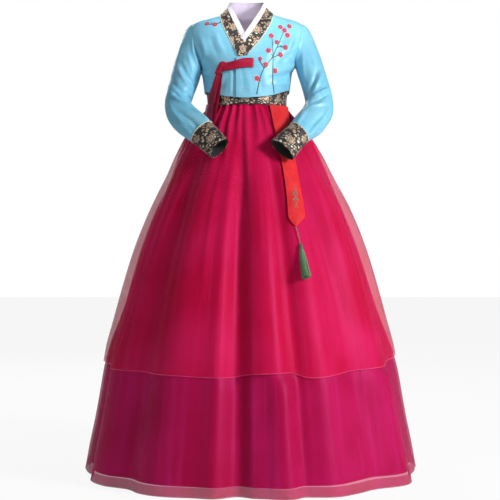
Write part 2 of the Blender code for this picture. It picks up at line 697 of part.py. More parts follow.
def ribbon():
    loop = []
    for x, lift in LOOP_PATH:
        middle = float(monotone(LOOP_MIDDLE, 1, x))
        heights = middle + LOOP_WIDTH * np.array((-0.5, 0, 0.5))
        loop.append(on_torso(torso_turn(x, heights), heights, lift))
    strip("ribbon_loop", loop, np.mean(loop, axis=(0, 1)), CRIMSON, 0.4)

    rings = []
    t = np.linspace(0, 2 * math.pi, KNOT_SIDES, endpoint=False)[:, None]
    for share, half_width, half_thick in KNOT:
        x = KNOT_MIDDLE[0] + KNOT_LEAN * share
        z = KNOT_MIDDLE[1] + KNOT_HALF * share
        here = on_torso(torso_turn(x, z), z, KNOT_LIFT)
        out = on_torso(torso_turn(x, z), z, KNOT_LIFT + 1) - here
        across = np.cross(out, (0, 0, 1))
        across /= np.linalg.norm(across)
        rings.append(here + np.cos(t) * half_width * across + np.sin(t) * half_thick * out)
    rings_solid("ribbon_knot", np.array(rings), CRIMSON, 0.4)

    for name, table, lift in (
        ("ribbon_tail_long", TAIL_LONG, TAIL_LONG_LIFT),
        ("ribbon_tail_short", TAIL_SHORT, TAIL_SHORT_LIFT),
    ):
        grid = []
        for x, z, width in table:
            grid.append([on_front(x + width * share, z, lift) for share in (-0.5, 0, 0.5)])
        strip(name, grid, (0, 0, WAIST_Z), CRIMSON, 0.4)


def sash():
    grid = []
    for z, left, right in SASH:
        grid.append([on_bell(x, z, SASH_LIFT) for x in np.linspace(left, right, SASH_POINTS)])
    strip("sash", grid, (0, 0, SASH[0][0]), (0.8, 0.06, 0.07), 0.4)

    curve = bpy.data.curves.new("sash_cord", "CURVE")
    curve.dimensions = "3D"
    curve.bevel_depth = CORD_RADIUS * MM
    curve.bevel_resolution = 2
    curve.use_fill_caps = True
    line = curve.splines.new("POLY")
    line.points.add(len(SASH_CORD) - 1)
    for spot, (x, z) in zip(line.points, SASH_CORD):
        spot.co = (*(on_bell(x, z, SASH_LIFT) * MM), 1)
    add_object("sash_cord", curve, (0.1, 0.25, 0.12), 0.6)

    top = on_bell(*TASSEL_TOP, SASH_LIFT)
    end = on_bell(*TASSEL_END, SASH_LIFT + TASSEL[-2][1] + 1)
    along = (end - top) / np.linalg.norm(end - top)
    side = np.cross(along, (0, -1, 0))
    side /= np.linalg.norm(side)
    out = np.cross(side, along)
    t = np.linspace(0, 2 * math.pi, TASSEL_SIDES, endpoint=False)
    ring = np.outer(np.cos(t), side) + np.outer(np.sin(t), out)
    rings = [top + (end - top) * share + ring * radius for share, radius in TASSEL]
    rings_solid("tassel", np.array(rings), (0.07, 0.25, 0.1), 0.7)


def main():
    for thing in list(bpy.data.objects):
        bpy.data.objects.remove(thing)
    jacket()
    sleeves()
    skirt()
    ribbon()
    sash()


main()
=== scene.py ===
import math

import bpy
import numpy as np
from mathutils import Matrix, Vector


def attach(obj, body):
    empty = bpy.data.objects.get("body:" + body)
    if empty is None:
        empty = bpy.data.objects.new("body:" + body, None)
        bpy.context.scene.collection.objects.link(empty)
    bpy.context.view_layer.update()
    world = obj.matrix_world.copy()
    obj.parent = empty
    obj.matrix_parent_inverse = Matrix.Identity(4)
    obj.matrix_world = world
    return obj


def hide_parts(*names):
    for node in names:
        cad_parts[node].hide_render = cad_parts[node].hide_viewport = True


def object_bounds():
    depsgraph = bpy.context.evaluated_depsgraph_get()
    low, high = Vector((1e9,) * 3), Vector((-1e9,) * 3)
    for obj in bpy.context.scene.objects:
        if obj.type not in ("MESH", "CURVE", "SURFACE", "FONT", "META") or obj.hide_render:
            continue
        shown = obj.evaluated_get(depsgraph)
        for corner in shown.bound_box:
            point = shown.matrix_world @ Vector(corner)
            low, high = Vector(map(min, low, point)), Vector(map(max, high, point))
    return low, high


# A worn hanbok with no wearer: sky-blue jacket, brocade bands, two-tier organza skirt.
# +X is the wearer's left, -Y the front, +Z up. Tables are in millimetres, meshes in metres.

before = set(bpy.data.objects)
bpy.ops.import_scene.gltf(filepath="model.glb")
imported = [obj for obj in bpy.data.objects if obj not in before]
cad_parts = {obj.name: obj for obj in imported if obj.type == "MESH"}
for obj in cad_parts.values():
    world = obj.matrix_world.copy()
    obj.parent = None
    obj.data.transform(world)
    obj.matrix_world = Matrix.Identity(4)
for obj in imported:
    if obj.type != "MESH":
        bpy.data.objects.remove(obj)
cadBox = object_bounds()
mm = 0.001
print("frame loaded:", len(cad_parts), "pieces")

cameraValues = {"side": 0.0058, "height": -0.6786, "distance": 4.05, "lens": 100.6, "sensor": 36}
stageValues = {
    "floorGap": 0.002, "floorSize": 30, "floorColor": (0.92, 0.92, 0.92, 1), "floorRough": 0.9,
    "floorWhite": 0.9, "worldLight": 0.21, "white": (1, 1, 1, 1),
}
lights = (  # name, place, aim, disk size, watts, spread in degrees
    ("key", (3.2, -2.6, 0.9), (0, 0, -0.6), 0.9, 182, 180),
    ("fill", (-3.2, -2.8, 0.2), (0, 0, -0.7), 2.4, 12, 180),
    ("neck", (0.1, -1.0, 0.75), (0, 0.03, -0.02), 0.12, 0.22, 22),
    ("back", (-1.2, 3.2, 1.4), (0, 0, -0.6), 2.0, 45, 180),
)


def add(tree, kind, wired=None, **settings):
    # a shader node, its settings, and what feeds or fills its inputs
    made = tree.nodes.new(kind)
    for key, value in settings.items():
        setattr(made, key, value)
    for key, value in (wired or {}).items():
        if isinstance(value, bpy.types.NodeSocket):
            tree.links.new(value, made.inputs[key])
        else:
            made.inputs[key].default_value = value
    return made


def sums(tree, operation, a, b=0.0, c=0.0):
    wired = {0: a, 1: b}
    if operation == "MULTIPLY_ADD":
        wired[2] = c
    return add(tree, "ShaderNodeMath", wired, operation=operation).outputs[0]


def inScene(name, data):
    made = bpy.data.objects.new(name, data)
    bpy.context.scene.collection.objects.link(made)
    return made


def makeCamera():
    data = bpy.data.cameras.new("camera")
    data.lens = cameraValues["lens"]
    data.sensor_width = cameraValues["sensor"]
    camera = inScene("camera", data)
    camera.location = (cameraValues["side"], -cameraValues["distance"], cameraValues["height"])
    camera.rotation_euler = (math.radians(90), 0, 0)
    bpy.context.scene.camera = camera


def makeLights():
    for name, place, aim, size, power, spread in lights:
        data = bpy.data.lights.new(name, "AREA")
        data.shape = "DISK"
        data.size = size
        data.energy = power
        data.spread = math.radians(spread)
        light = inScene(name, data)
        light.location = place
        light.rotation_euler = (Vector(aim) - Vector(place)).to_track_quat("-Z", "Y").to_euler()


def whiteToCamera(tree, plain, kind, share, output):
    # the camera sees a share of white here, while the dress is lit by the plain shader
    white = add(tree, kind, {"Color": stageValues["white"], "Strength": 1.0})
    seen = sums(tree, "MULTIPLY", add(tree, "ShaderNodeLightPath").outputs["Is Camera Ray"], share)
    mixed = add(tree, "ShaderNodeMixShader", {0: seen, 1: plain, 2: white.outputs[0]})
    tree.links.new(mixed.outputs[0], output.inputs["Surface"])


def makeStage():
    low = cadBox[0][2] - stageValues["floorGap"]
    bpy.ops.mesh.primitive_plane_add(size=stageValues["floorSize"], location=(0, 0, low))
    floor = bpy.context.object
    floor.name = "floor"
    material = bpy.data.materials.new("floor")
    material.use_nodes = True
    nodes = material.node_tree.nodes
    paint = nodes["Principled BSDF"]
    paint.inputs["Base Color"].default_value = stageValues["floorColor"]
    paint.inputs["Roughness"].default_value = stageValues["floorRough"]
    whiteToCamera(material.node_tree, paint.outputs[0], "ShaderNodeEmission", stageValues["floorWhite"],
                  nodes["Material Output"])
    floor.data.materials.append(material)

    world = bpy.data.worlds.new("studio")
    world.use_nodes = True
    nodes = world.node_tree.nodes
    nodes["Background"].inputs["Color"].default_value = stageValues["white"]
    nodes["Background"].inputs["Strength"].default_value = stageValues["worldLight"]
    whiteToCamera(world.node_tree, nodes["Background"].outputs[0], "ShaderNodeBackground", 1.0,
                  nodes["World Output"])
    bpy.context.scene.world = world
    bpy.context.scene.view_settings.view_transform = "Standard"


makeCamera()
makeStage()
makeLights()
print("camera, stage and lights placed")


def ease(rows, column, at):
    # a cubic through the table's column that never overshoots
    table = np.array(rows, float)
    xs, ys = table[:, 0], table[:, column]
    at = np.clip(np.asarray(at, float), xs[0], xs[-1])
    step = np.diff(xs)
    slope = np.diff(ys) / step
    both = slope[:-1] + slope[1:]
    product = slope[:-1] * slope[1:]
    inner = np.where(product > 0, 2 * product / np.where(both == 0, 1, both), 0)
    lean = np.concatenate([[slope[0]], inner, [slope[-1]]])
    k = np.clip(np.searchsorted(xs, at, side="right") - 1, 0, len(step) - 1)
    t = (at - xs[k]) / step[k]
    return (
        ys[k] * (1 + 2 * t) * (1 - t) ** 2
        + ys[k + 1] * t ** 2 * (3 - 2 * t)
        + step[k] * (lean[k] * t * (1 - t) ** 2 - lean[k + 1] * t ** 2 * (1 - t))
    )


def smooth(value):
    value = np.clip(value, 0, 1)
    return value * value * (3 - 2 * value)


def soft(away, width, power=2.0):
    # a soft hump across a fold
    return np.exp(-np.abs(away / width) ** power)


def unit(vectors):
    # each vector at length 1
    return vectors / np.maximum(np.linalg.norm(vectors, axis=-1, keepdims=True), 1e-9)


def roundTurn(sides):
    # the angles of a ring's points
    return np.linspace(0, 2 * math.pi, sides, endpoint=False)


def curveThrough(points, count):
    # a smooth line through a few points, evenly spread
    points = np.array(points, float)
    away = np.concatenate([[0], np.cumsum(np.linalg.norm(np.diff(points, axis=0), axis=1))])
    at = np.linspace(0, away[-1], count)
    rows = np.column_stack([away, points])
    return np.stack([ease(rows, k + 1, at) for k in range(points.shape[1])], axis=-1)


def alongRings(rings, count):
    # more rings between the given ones, on a smooth spline
    n = len(rings)
    padded = np.concatenate([[2 * rings[0] - rings[1]], rings, [2 * rings[-1] - rings[-2]]])
    at = np.linspace(0, n - 1, count)
    k = np.clip(at.astype(int), 0, n - 2)
    t = (at - k)[:, None, None]
    a, b, c, d = padded[k], padded[k + 1], padded[k + 2], padded[k + 3]
    return 0.5 * (2 * b + (c - a) * t + (2 * a - 5 * b + 4 * c - d) * t ** 2 + (3 * b - a - 3 * c + d) * t ** 3)


meshValues = {"gridSharp": 60, "ringSharp": 50}  # degrees past which an edge is left sharp


def outward(grid, wrap, inside):
    # the normals of a grid, turned away from a point inside it or from the middle of each of its rows
    across = np.roll(grid, -1, axis=1) - np.roll(grid, 1, axis=1) if wrap else np.gradient(grid, axis=1)
    normal = unit(np.cross(np.gradient(grid, axis=0), across))
    middle = grid.mean(axis=1, keepdims=True) if inside is None else np.array(inside, float)
    return -normal if np.einsum("ijk,ijk->", normal, grid - middle) < 0 else normal


def wallFaces(rows, columns, wrap):
    # the faces of a wall between two grids, and the row and column that each corner lies on
    spans = columns if wrap else columns - 1
    r, c = (part.ravel() for part in np.meshgrid(np.arange(rows - 1), np.arange(spans), indexing="ij"))
    n = (c + 1) % columns
    quads = np.stack([r * columns + c, r * columns + n, (r + 1) * columns + n, (r + 1) * columns + c], axis=-1)
    corners = [np.stack([r, c]), np.stack([r, c + 1]), np.stack([r + 1, c + 1]), np.stack([r + 1, c])]
    corners = np.stack(corners).transpose(2, 0, 1)
    depth = rows * columns
    rims = []
    for k in range(spans):
        rims += [((0, k + 1), (0, k)), ((rows - 1, k), (rows - 1, k + 1))]
    if not wrap:
        for k in range(rows - 1):
            rims += [((k, 0), (k + 1, 0)), ((k + 1, columns - 1), (k, columns - 1))]
    ends = []
    for a, b in rims:
        first, second = a[0] * columns + a[1] % columns, b[0] * columns + b[1] % columns
        ends.append([first, second, second + depth, first + depth])
    endCorners = np.array([[a, b, b, a] for a, b in rims])
    return (
        np.concatenate([quads, quads[:, ::-1] + depth, np.array(ends)]),
        np.concatenate([corners, corners[:, ::-1], endCorners]),
    )


def gridMesh(name, grid, material, wrap=False, thick=0.6, inside=None, under=None):
    # a closed thin wall whose outer face is the grid, with UVs in metres along the cloth;
    # its hidden face takes the material `under`
    rows, columns = grid.shape[:2]
    normal = outward(grid, wrap, inside)
    points = np.concatenate([grid.reshape(-1, 3), (grid - normal * thick).reshape(-1, 3)]) * mm
    faces, cell = wallFaces(rows, columns, wrap)
    a, b, c, d = points[faces].transpose(1, 0, 2)
    if np.einsum("ij,ij->i", a, np.cross(b, c) + np.cross(c, d)).sum() < 0:
        faces, cell = faces[:, ::-1], cell[:, ::-1]

    wide = grid[:, list(range(columns)) + [0]] if wrap else grid
    u, v = (
        np.concatenate([[0], np.linalg.norm(np.diff(each, axis=way), axis=-1).mean(axis=1 - way).cumsum()]) * mm
        for each, way in ((wide, 1), (grid, 0))
    )
    if wrap:
        u = np.linspace(0, u[-1], len(u))
    cell = cell.reshape(-1, 2)

    mesh = bpy.data.meshes.new(name)
    mesh.vertices.add(len(points))
    mesh.vertices.foreach_set("co", points.ravel().astype(np.float32))
    mesh.loops.add(faces.size)
    mesh.loops.foreach_set("vertex_index", faces.ravel().astype(np.int32))
    mesh.polygons.add(len(faces))
    mesh.polygons.foreach_set("loop_start", np.arange(0, faces.size, 4, dtype=np.int32))
    mesh.update(calc_edges=True)
    uv = np.stack([u[cell[:, 1]], v[cell[:, 0]]], axis=-1)
    mesh.uv_layers.new(name="cloth").data.foreach_set("uv", uv.ravel().astype(np.float32))
    mesh.validate()
    mesh.shade_smooth()
    mesh.set_sharp_from_angle(angle=math.radians(meshValues["gridSharp"]))
    mesh.materials.append(material)
    if under is not None:
        mesh.materials.append(under)
        walls = (rows - 1) * (columns if wrap else columns - 1)
        which = np.zeros(len(faces), np.int32)
        which[walls:2 * walls] = 1
        mesh.polygons.foreach_set("material_index", which)
    return inScene(name, mesh)


def settle(piece, slot, *nodes):
    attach(piece, "root")
    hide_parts(*nodes)


def joined(name, pieces):
    bpy.ops.object.select_all(action="DESELECT")
    for piece in pieces:
        piece.select_set(True)
    bpy.context.view_layer.objects.active = pieces[0]
    bpy.ops.object.join()
    whole = bpy.context.object
    whole.name = name
    whole.data.name = name
    return whole


def roundTube(name, points, radii, material, sides=8):
    # a closed tube along a line of points in millimetres; its UV runs round and along
    points = np.array(points, float)
    radii = np.broadcast_to(np.asarray(radii, float), len(points))
    along = unit(np.gradient(points, axis=0))
    side = unit(np.cross(along, (0, 0, 1.0) if abs(along[0][2]) < 0.9 else (1.0, 0, 0)))
    other = np.cross(side, along)
    t = roundTurn(sides)[None, :, None]
    rings = points[:, None] + (np.cos(t) * side[:, None] + np.sin(t) * other[:, None]) * radii[:, None, None]
    return ringSolid(name, rings, material)


def ringSolid(name, rings, material):
    # a closed solid lofted through rings
    count, sides = rings.shape[:2]
    verts = [tuple(p) for p in rings.reshape(-1, 3) * mm]
    faces = [tuple(range(sides)), tuple((count - 1) * sides + i for i in range(sides))[::-1]]
    cells = [[(i / sides, 0) for i in range(sides)], [(i / sides, 1) for i in range(sides)][::-1]]
    for r in range(count - 1):
        low, high = r / (count - 1), (r + 1) / (count - 1)
        for c in range(sides):
            n = (c + 1) % sides
            faces.append((r * sides + n, r * sides + c, (r + 1) * sides + c, (r + 1) * sides + n))
            start, end = c / sides, (c + 1) / sides
            cells.append([(end, low), (start, low), (start, high), (end, high)])
    thirds = [(f[0], f[i], f[i + 1]) for f in faces for i in range(1, len(f) - 1)]
    a, b, c = np.array(verts)[np.array(thirds)].transpose(1, 0, 2)
    if np.einsum("ij,ij->i", a, np.cross(b, c)).sum() < 0:
        faces = [f[::-1] for f in faces]
        cells = [c[::-1] for c in cells]
    mesh = bpy.data.meshes.new(name)
    mesh.from_pydata(verts, [], faces)
    flat = [value for cell in cells for place in cell for value in place]
    mesh.uv_layers.new(name="cloth").data.foreach_set("uv", flat)
    mesh.shade_smooth()
    mesh.set_sharp_from_angle(angle=math.radians(meshValues["ringSharp"]))
    mesh.materials.append(material)
    return inScene(name, mesh)


def startMaterial(name, sheen, rough=None):
    material = bpy.data.materials.new(name)
    material.use_nodes = True
    shader = material.node_tree.nodes["Principled BSDF"]
    shader.inputs["Sheen Weight"].default_value = sheen
    if rough is not None:
        shader.inputs["Roughness"].default_value = rough
    return material, material.node_tree, shader


def blend(tree, share, a, b):
    return add(tree, "ShaderNodeMix", {0: share, 6: a, 7: b}, data_type="RGBA").outputs[2]


def times(tree, a, b):
    return sums(tree, "MULTIPLY", a, b)


def ramp(tree, value, low, high):
    wired = {0: value, 1: low, 2: high, 3: 0.0, 4: 1.0}
    return add(tree, "ShaderNodeMapRange", wired, interpolation_type="SMOOTHSTEP").outputs[0]


def placeBy(tree, kind, scale=(1, 1, 1)):
    # where a point is: "UV" runs along the cloth in metres, "Object" is the point itself
    coords = add(tree, "ShaderNodeTexCoord")
    return add(tree, "ShaderNodeMapping", {0: coords.outputs[kind], 3: scale}).outputs[0]


def noise(tree, place, scale, detail=3.0, output="Fac"):
    wired = {"Vector": place, "Scale": scale, "Detail": detail, "Roughness": 0.5}
    return add(tree, "ShaderNodeTexNoise", wired).outputs[output]


def threads(tree, pitch):
    # plain weave: warp and weft threads crossing, from 0 to 1
    split = add(tree, "ShaderNodeSeparateXYZ", {0: placeBy(tree, "UV")})
    warp, weft = (sums(tree, "SINE", times(tree, split.outputs[k], 2 * math.pi / pitch)) for k in (0, 1))
    return sums(tree, "MULTIPLY_ADD", times(tree, warp, weft), 0.5, 0.5)


def roughen(tree, shader, height, strength, distance):
    bump = add(tree, "ShaderNodeBump", {"Height": height, "Strength": strength, "Distance": distance})
    tree.links.new(bump.outputs[0], shader.inputs["Normal"])


silkValues = {
    "slubStretch": (40, 900, 1), "slubRamp": (0.5, 0.75), "cloudRamp": (0.35, 0.68), "roughSpread": 0.16,
    "sheenRough": 0.35, "slubHeight": 0.6, "bumpDepth": 0.0004,
}
organzaValues = {
    "streakStretch": (60, 1.5, 1), "streakRamp": (0.45, 0.8), "streakShare": 0.25, "cloud": 5.0,
    "cloudRamp": (0.35, 0.7), "gloss": 0.3, "sheenRough": 0.35, "coverSpread": 0.08, "streakHeight": 1.5,
    "bumpDepth": 0.0003,
}
threadValues = {"stretch": (3, 60, 1), "ramp": (0.35, 0.7), "sheen": 0.3, "bump": 0.4, "bumpDepth": 0.0004}


def silk(name, values):
    # satin-faced silk: a plain colour with slubs, faint shading and a lustre
    material, tree, shader = startMaterial(name, values["sheen"])
    slub = noise(tree, placeBy(tree, "UV", silkValues["slubStretch"]), 1.0, 2.0)
    cloud = noise(tree, placeBy(tree, "Object"), values["cloud"], 3.0)
    tone = blend(tree, ramp(tree, cloud, *silkValues["cloudRamp"]), values["deep"], values["color"])
    share = times(tree, ramp(tree, slub, *silkValues["slubRamp"]), values["slub"])
    tree.links.new(blend(tree, share, tone, values["light"]), shader.inputs["Base Color"])
    spread = silkValues["roughSpread"]
    rough = sums(tree, "MULTIPLY_ADD", slub, spread, values["rough"] - spread / 2)
    tree.links.new(rough, shader.inputs["Roughness"])
    shader.inputs["Sheen Roughness"].default_value = silkValues["sheenRough"]
    shader.inputs["Sheen Tint"].default_value = values["light"]
    shader.inputs["Specular IOR Level"].default_value = values["gloss"]
    height = sums(tree, "MULTIPLY_ADD", slub, silkValues["slubHeight"], threads(tree, values["thread"]))
    roughen(tree, shader, height, values["bump"], silkValues["bumpDepth"])
    return material


def organza(name, values):
    # sheer crisp silk: fine threads with open gaps, so what is under it shows through
    material, tree, shader = startMaterial(name, values["sheen"], values["rough"])
    weave = threads(tree, values["thread"])
    streak = noise(tree, placeBy(tree, "UV", organzaValues["streakStretch"]), 1.0, 2.0)
    cloud = noise(tree, placeBy(tree, "Object"), organzaValues["cloud"], 2.0)
    tone = blend(tree, ramp(tree, cloud, *organzaValues["cloudRamp"]), values["deep"], values["color"])
    share = times(tree, ramp(tree, streak, *organzaValues["streakRamp"]), organzaValues["streakShare"])
    tree.links.new(blend(tree, share, tone, values["light"]), shader.inputs["Base Color"])
    shader.inputs["Specular IOR Level"].default_value = organzaValues["gloss"]
    shader.inputs["Specular Tint"].default_value = values["shine"]
    shader.inputs["Sheen Roughness"].default_value = organzaValues["sheenRough"]
    shader.inputs["Sheen Tint"].default_value = values["shine"]
    spread = organzaValues["coverSpread"]
    cover = sums(tree, "MULTIPLY_ADD", sums(tree, "ADD", weave, streak), spread, values["cover"] - spread)
    tree.links.new(cover, shader.inputs["Alpha"])
    height = sums(tree, "MULTIPLY_ADD", streak, organzaValues["streakHeight"], weave)
    roughen(tree, shader, height, values["bump"], organzaValues["bumpDepth"])
    return material


def brocade(name, values):
    # black silk figured with metal thread: staggered rosettes among packed leaves, drawn by formula; cream on
    # some leaves and in noisy patches is a painted highlight on the gold
    material, tree, shader = startMaterial(name, values["sheen"])
    place = placeBy(tree, "UV")
    wander = noise(tree, place, values["wanderScale"], 1.0, "Color")

    def vectors(operation, wired):
        return add(tree, "ShaderNodeVectorMath", wired, operation=operation).outputs[0]

    shift = vectors("SUBTRACT", {0: wander, 1: (0.5, 0.5, 0.5)})
    bent = vectors("ADD", {0: place, 1: vectors("SCALE", {0: shift, "Scale": values["wanderBy"]})})
    split = add(tree, "ShaderNodeSeparateXYZ", {0: bent})

    # staggered places for the rosettes
    def fromMiddle(value, step):
        return sums(tree, "SUBTRACT", sums(tree, "FLOORED_MODULO", value, step), step / 2)

    stepU, stepV = values["repeat"]
    row = sums(tree, "FLOOR", sums(tree, "DIVIDE", split.outputs[1], stepV))
    odd = times(tree, sums(tree, "MODULO", sums(tree, "ABSOLUTE", row), 2.0), stepU / 2)
    u = fromMiddle(sums(tree, "ADD", split.outputs[0], odd), stepU)
    v = fromMiddle(split.outputs[1], stepV)
    away = sums(tree, "SQRT", sums(tree, "ADD", times(tree, u, u), times(tree, v, v)))
    turn = sums(tree, "ARCTAN2", v, u)
    petal = sums(tree, "ABSOLUTE", sums(tree, "COSINE", times(tree, turn, values["petals"] / 2)))
    lobe, heart = values["lobe"]
    edge = sums(tree, "MULTIPLY_ADD", petal, values["radius"] * lobe, values["radius"] * heart)
    inRose = ramp(tree, sums(tree, "SUBTRACT", edge, away), *values["roseEdge"])
    rings = sums(tree, "ADD", times(tree, away, values["ringScale"]), times(tree, petal, 2.0))
    roseLines = ramp(tree, sums(tree, "SINE", rings), *values["ringRamp"])

    # leaves packed between them
    wired = {0: bent, 2: values["leafTurn"], 3: values["leafStretch"]}
    stretched = add(tree, "ShaderNodeMapping", wired).outputs[0]

    def cells(scale, feature):
        return add(tree, "ShaderNodeTexVoronoi", {"Vector": stretched, "Scale": scale}, feature=feature).outputs

    gap = cells(values["leafScale"], "DISTANCE_TO_EDGE")["Distance"]
    vein = cells(values["leafScale"] * values["veins"], "DISTANCE_TO_EDGE")["Distance"]
    pick = add(tree, "ShaderNodeSeparateColor", {0: cells(values["leafScale"], "F1")["Color"]})
    veined = sums(tree, "MAXIMUM", ramp(tree, vein, *values["veinRamp"]), values["veinLeast"])
    leaf = times(tree, ramp(tree, gap, *values["leafRamp"]), veined)
    apart = ramp(tree, sums(tree, "SUBTRACT", away, edge), *values["roseGap"])
    kept = ramp(tree, pick.outputs[0], *values["leafKept"])
    figure = sums(tree, "ADD", times(tree, inRose, roseLines), times(tree, times(tree, leaf, kept), apart))
    figure = sums(tree, "MINIMUM", figure, 1.0)

    gold = blend(tree, ramp(tree, pick.outputs[1], *values["copperRamp"]), values["gold"], values["copper"])
    # cream on some leaves: painted highlight on the gold thread
    gold = blend(tree, ramp(tree, pick.outputs[2], *values["creamRamp"]), gold, values["cream"])
    gold = blend(tree, times(tree, inRose, values["roseShare"]), gold, values["rose"])
    # cream in noisy patches: more painted highlight on the gold thread
    glint = noise(tree, place, values["glintScale"], 2.0)
    gold = blend(tree, ramp(tree, glint, *values["glintRamp"]), gold, values["cream"])
    tree.links.new(blend(tree, figure, values["ground"], gold), shader.inputs["Base Color"])
    tree.links.new(times(tree, figure, values["metal"]), shader.inputs["Metallic"])
    rough, smoother = values["rough"]
    tree.links.new(sums(tree, "MULTIPLY_ADD", figure, smoother, rough), shader.inputs["Roughness"])
    height = sums(tree, "MULTIPLY_ADD", threads(tree, values["thread"]), values["weaveHeight"], figure)
    roughen(tree, shader, height, values["bump"], values["bumpDepth"])
    return material


def plainThread(name, color, light, rough=0.55):
    material, tree, shader = startMaterial(name, threadValues["sheen"], rough)
    streak = noise(tree, placeBy(tree, "UV", threadValues["stretch"]), 1.0, 2.0)
    tone = blend(tree, ramp(tree, streak, *threadValues["ramp"]), color, light)
    tree.links.new(tone, shader.inputs["Base Color"])
    roughen(tree, shader, streak, threadValues["bump"], threadValues["bumpDepth"])
    return material


jacketSilk = silk("jacketSilk", {
    "color": (0.235, 0.585, 0.77, 1), "deep": (0.16, 0.49, 0.69, 1), "light": (0.55, 0.83, 0.93, 1),
    "thread": 0.0012, "cloud": 7.0, "slub": 0.3, "rough": 0.38, "sheen": 0.15, "gloss": 0.35, "bump": 0.1,
})
liningSilk = silk("liningSilk", {
    "color": (0.66, 0.58, 0.72, 1), "deep": (0.6, 0.52, 0.67, 1), "light": (0.72, 0.65, 0.78, 1),
    "thread": 0.0012, "cloud": 6.0, "slub": 0.2, "rough": 0.6, "sheen": 0.2, "gloss": 0.3, "bump": 0.1,
})
whiteCotton = silk("whiteCotton", {
    "color": (0.7, 0.68, 0.73, 1), "deep": (0.62, 0.6, 0.66, 1), "light": (0.76, 0.75, 0.78, 1),
    "thread": 0.0009, "cloud": 20.0, "slub": 0.2, "rough": 0.65, "sheen": 0.1, "gloss": 0.3, "bump": 0.12,
})
ribbonSilk = silk("ribbonSilk", {
    "color": (0.42, 0.004, 0.04, 1), "deep": (0.28, 0.002, 0.022, 1), "light": (0.68, 0.02, 0.10, 1),
    "thread": 0.001, "cloud": 30.0, "slub": 0.4, "rough": 0.42, "sheen": 0.08, "gloss": 0.25, "bump": 0.15,
})
skirtSatin = silk("skirtSatin", {
    "color": (0.42, 0.004, 0.04, 1), "deep": (0.33, 0.002, 0.025, 1), "light": (0.62, 0.02, 0.14, 1),
    "thread": 0.0012, "cloud": 4.0, "slub": 0.15, "rough": 0.45, "sheen": 0.08, "gloss": 0.2, "bump": 0.06,
})
sashSilk = silk("sashSilk", {
    "color": (0.72, 0.028, 0.032, 1), "deep": (0.6, 0.015, 0.022, 1), "light": (0.85, 0.085, 0.08, 1),
    "thread": 0.001, "cloud": 25.0, "slub": 0.35, "rough": 0.5, "sheen": 0.08, "gloss": 0.2, "bump": 0.15,
})
organzaShort = organza("organzaShort", {
    "color": (0.84, 0.014, 0.125, 1), "deep": (0.74, 0.005, 0.06, 1), "light": (0.96, 0.06, 0.3, 1),
    "shine": (1.0, 0.16, 0.5, 1), "thread": 0.0014, "rough": 0.45, "sheen": 0.4, "cover": 0.36, "bump": 0.06,
})
organzaLong = organza("organzaLong", {
    "color": (0.66, 0.01, 0.14, 1), "deep": (0.54, 0.005, 0.08, 1), "light": (0.82, 0.035, 0.34, 1),
    "shine": (1.0, 0.2, 0.6, 1), "thread": 0.0014, "rough": 0.45, "sheen": 0.4, "cover": 0.47, "bump": 0.06,
})
goldBrocade = brocade("goldBrocade", {
    "ground": (0.006, 0.006, 0.008, 1), "gold": (0.52, 0.37, 0.2, 1), "copper": (0.4, 0.21, 0.12, 1),
    # cream is a painted highlight on the gold thread
    "cream": (0.8, 0.68, 0.5, 1), "rose": (0.36, 0.2, 0.12, 1), "roseShare": 0.85, "copperRamp": (0.3, 0.5),
    "creamRamp": (0.6, 0.75), "glintScale": 400.0, "glintRamp": (0.35, 0.8),
    "repeat": (0.05, 0.036), "radius": 0.0118, "petals": 6.0, "lobe": (0.22, 0.8),
    "roseEdge": (-0.0002, 0.0004),
    "ringScale": 1050.0, "ringRamp": (-0.8, -0.4), "roseGap": (0.0006, 0.0014),
    "leafScale": 100.0, "leafTurn": (0, 0, 0.6), "leafStretch": (1.0, 1.35, 1.0), "leafRamp": (0.13, 0.19),
    "leafKept": (0.26, 0.28), "veins": 2.6, "veinRamp": (0.02, 0.07), "veinLeast": 0.6,
    "wanderScale": 90.0, "wanderBy": 0.006, "metal": 0.4, "rough": (0.5, -0.12), "sheen": 0.15,
    "thread": 0.0008, "weaveHeight": 0.25, "bump": 0.7, "bumpDepth": 0.0005,
})
pipingCream = plainThread("pipingCream", (0.62, 0.55, 0.42, 1), (0.85, 0.8, 0.68, 1))
# near black: a painted shade for the inside of the cuffs, also the hidden face of the waistband
paintedShadeLining = plainThread("paintedShadeLining", (0.004, 0.004, 0.005, 1), (0.012, 0.01, 0.012, 1), 0.8)
hemPale = plainThread("hemPale", (0.75, 0.03, 0.15, 1), (0.88, 0.12, 0.27, 1))
hemDark = plainThread("hemDark", (0.12, 0.004, 0.03, 1), (0.25, 0.01, 0.07, 1))
sashEdge = plainThread("sashEdge", (0.42, 0.01, 0.03, 1), (0.6, 0.03, 0.06, 1))
greyGold = plainThread("greyGold", (0.16, 0.09, 0.06, 1), (0.42, 0.3, 0.18, 1))
branchThread = plainThread("branchThread", (0.02, 0.09, 0.07, 1), (0.05, 0.2, 0.13, 1))
tasselThread = plainThread("tasselThread", (0.05, 0.17, 0.06, 1), (0.15, 0.34, 0.16, 1))
tasselDark = plainThread("tasselDark", (0.02, 0.07, 0.03, 1), (0.05, 0.14, 0.06, 1))

petalValues = {
    "heart": (0.75, 0.1, 0.14, 1), "rough": 0.45, "sheen": 0.3, "stitches": 9000.0, "bump": 0.3,
    "bumpDepth": 0.0003, "rag": 0.0012, "ragScale": 900.0,
}
petalBands = (  # metres from the heart at which a colour starts and is full, the colour
    (0.0022, 0.0032, (0.4, 0.006, 0.035, 1)),
    (0.0052, 0.0068, (0.62, 0.07, 0.14, 1)),
    (0.0078, 0.0088, (0.66, 0.5, 0.6, 1)),
)


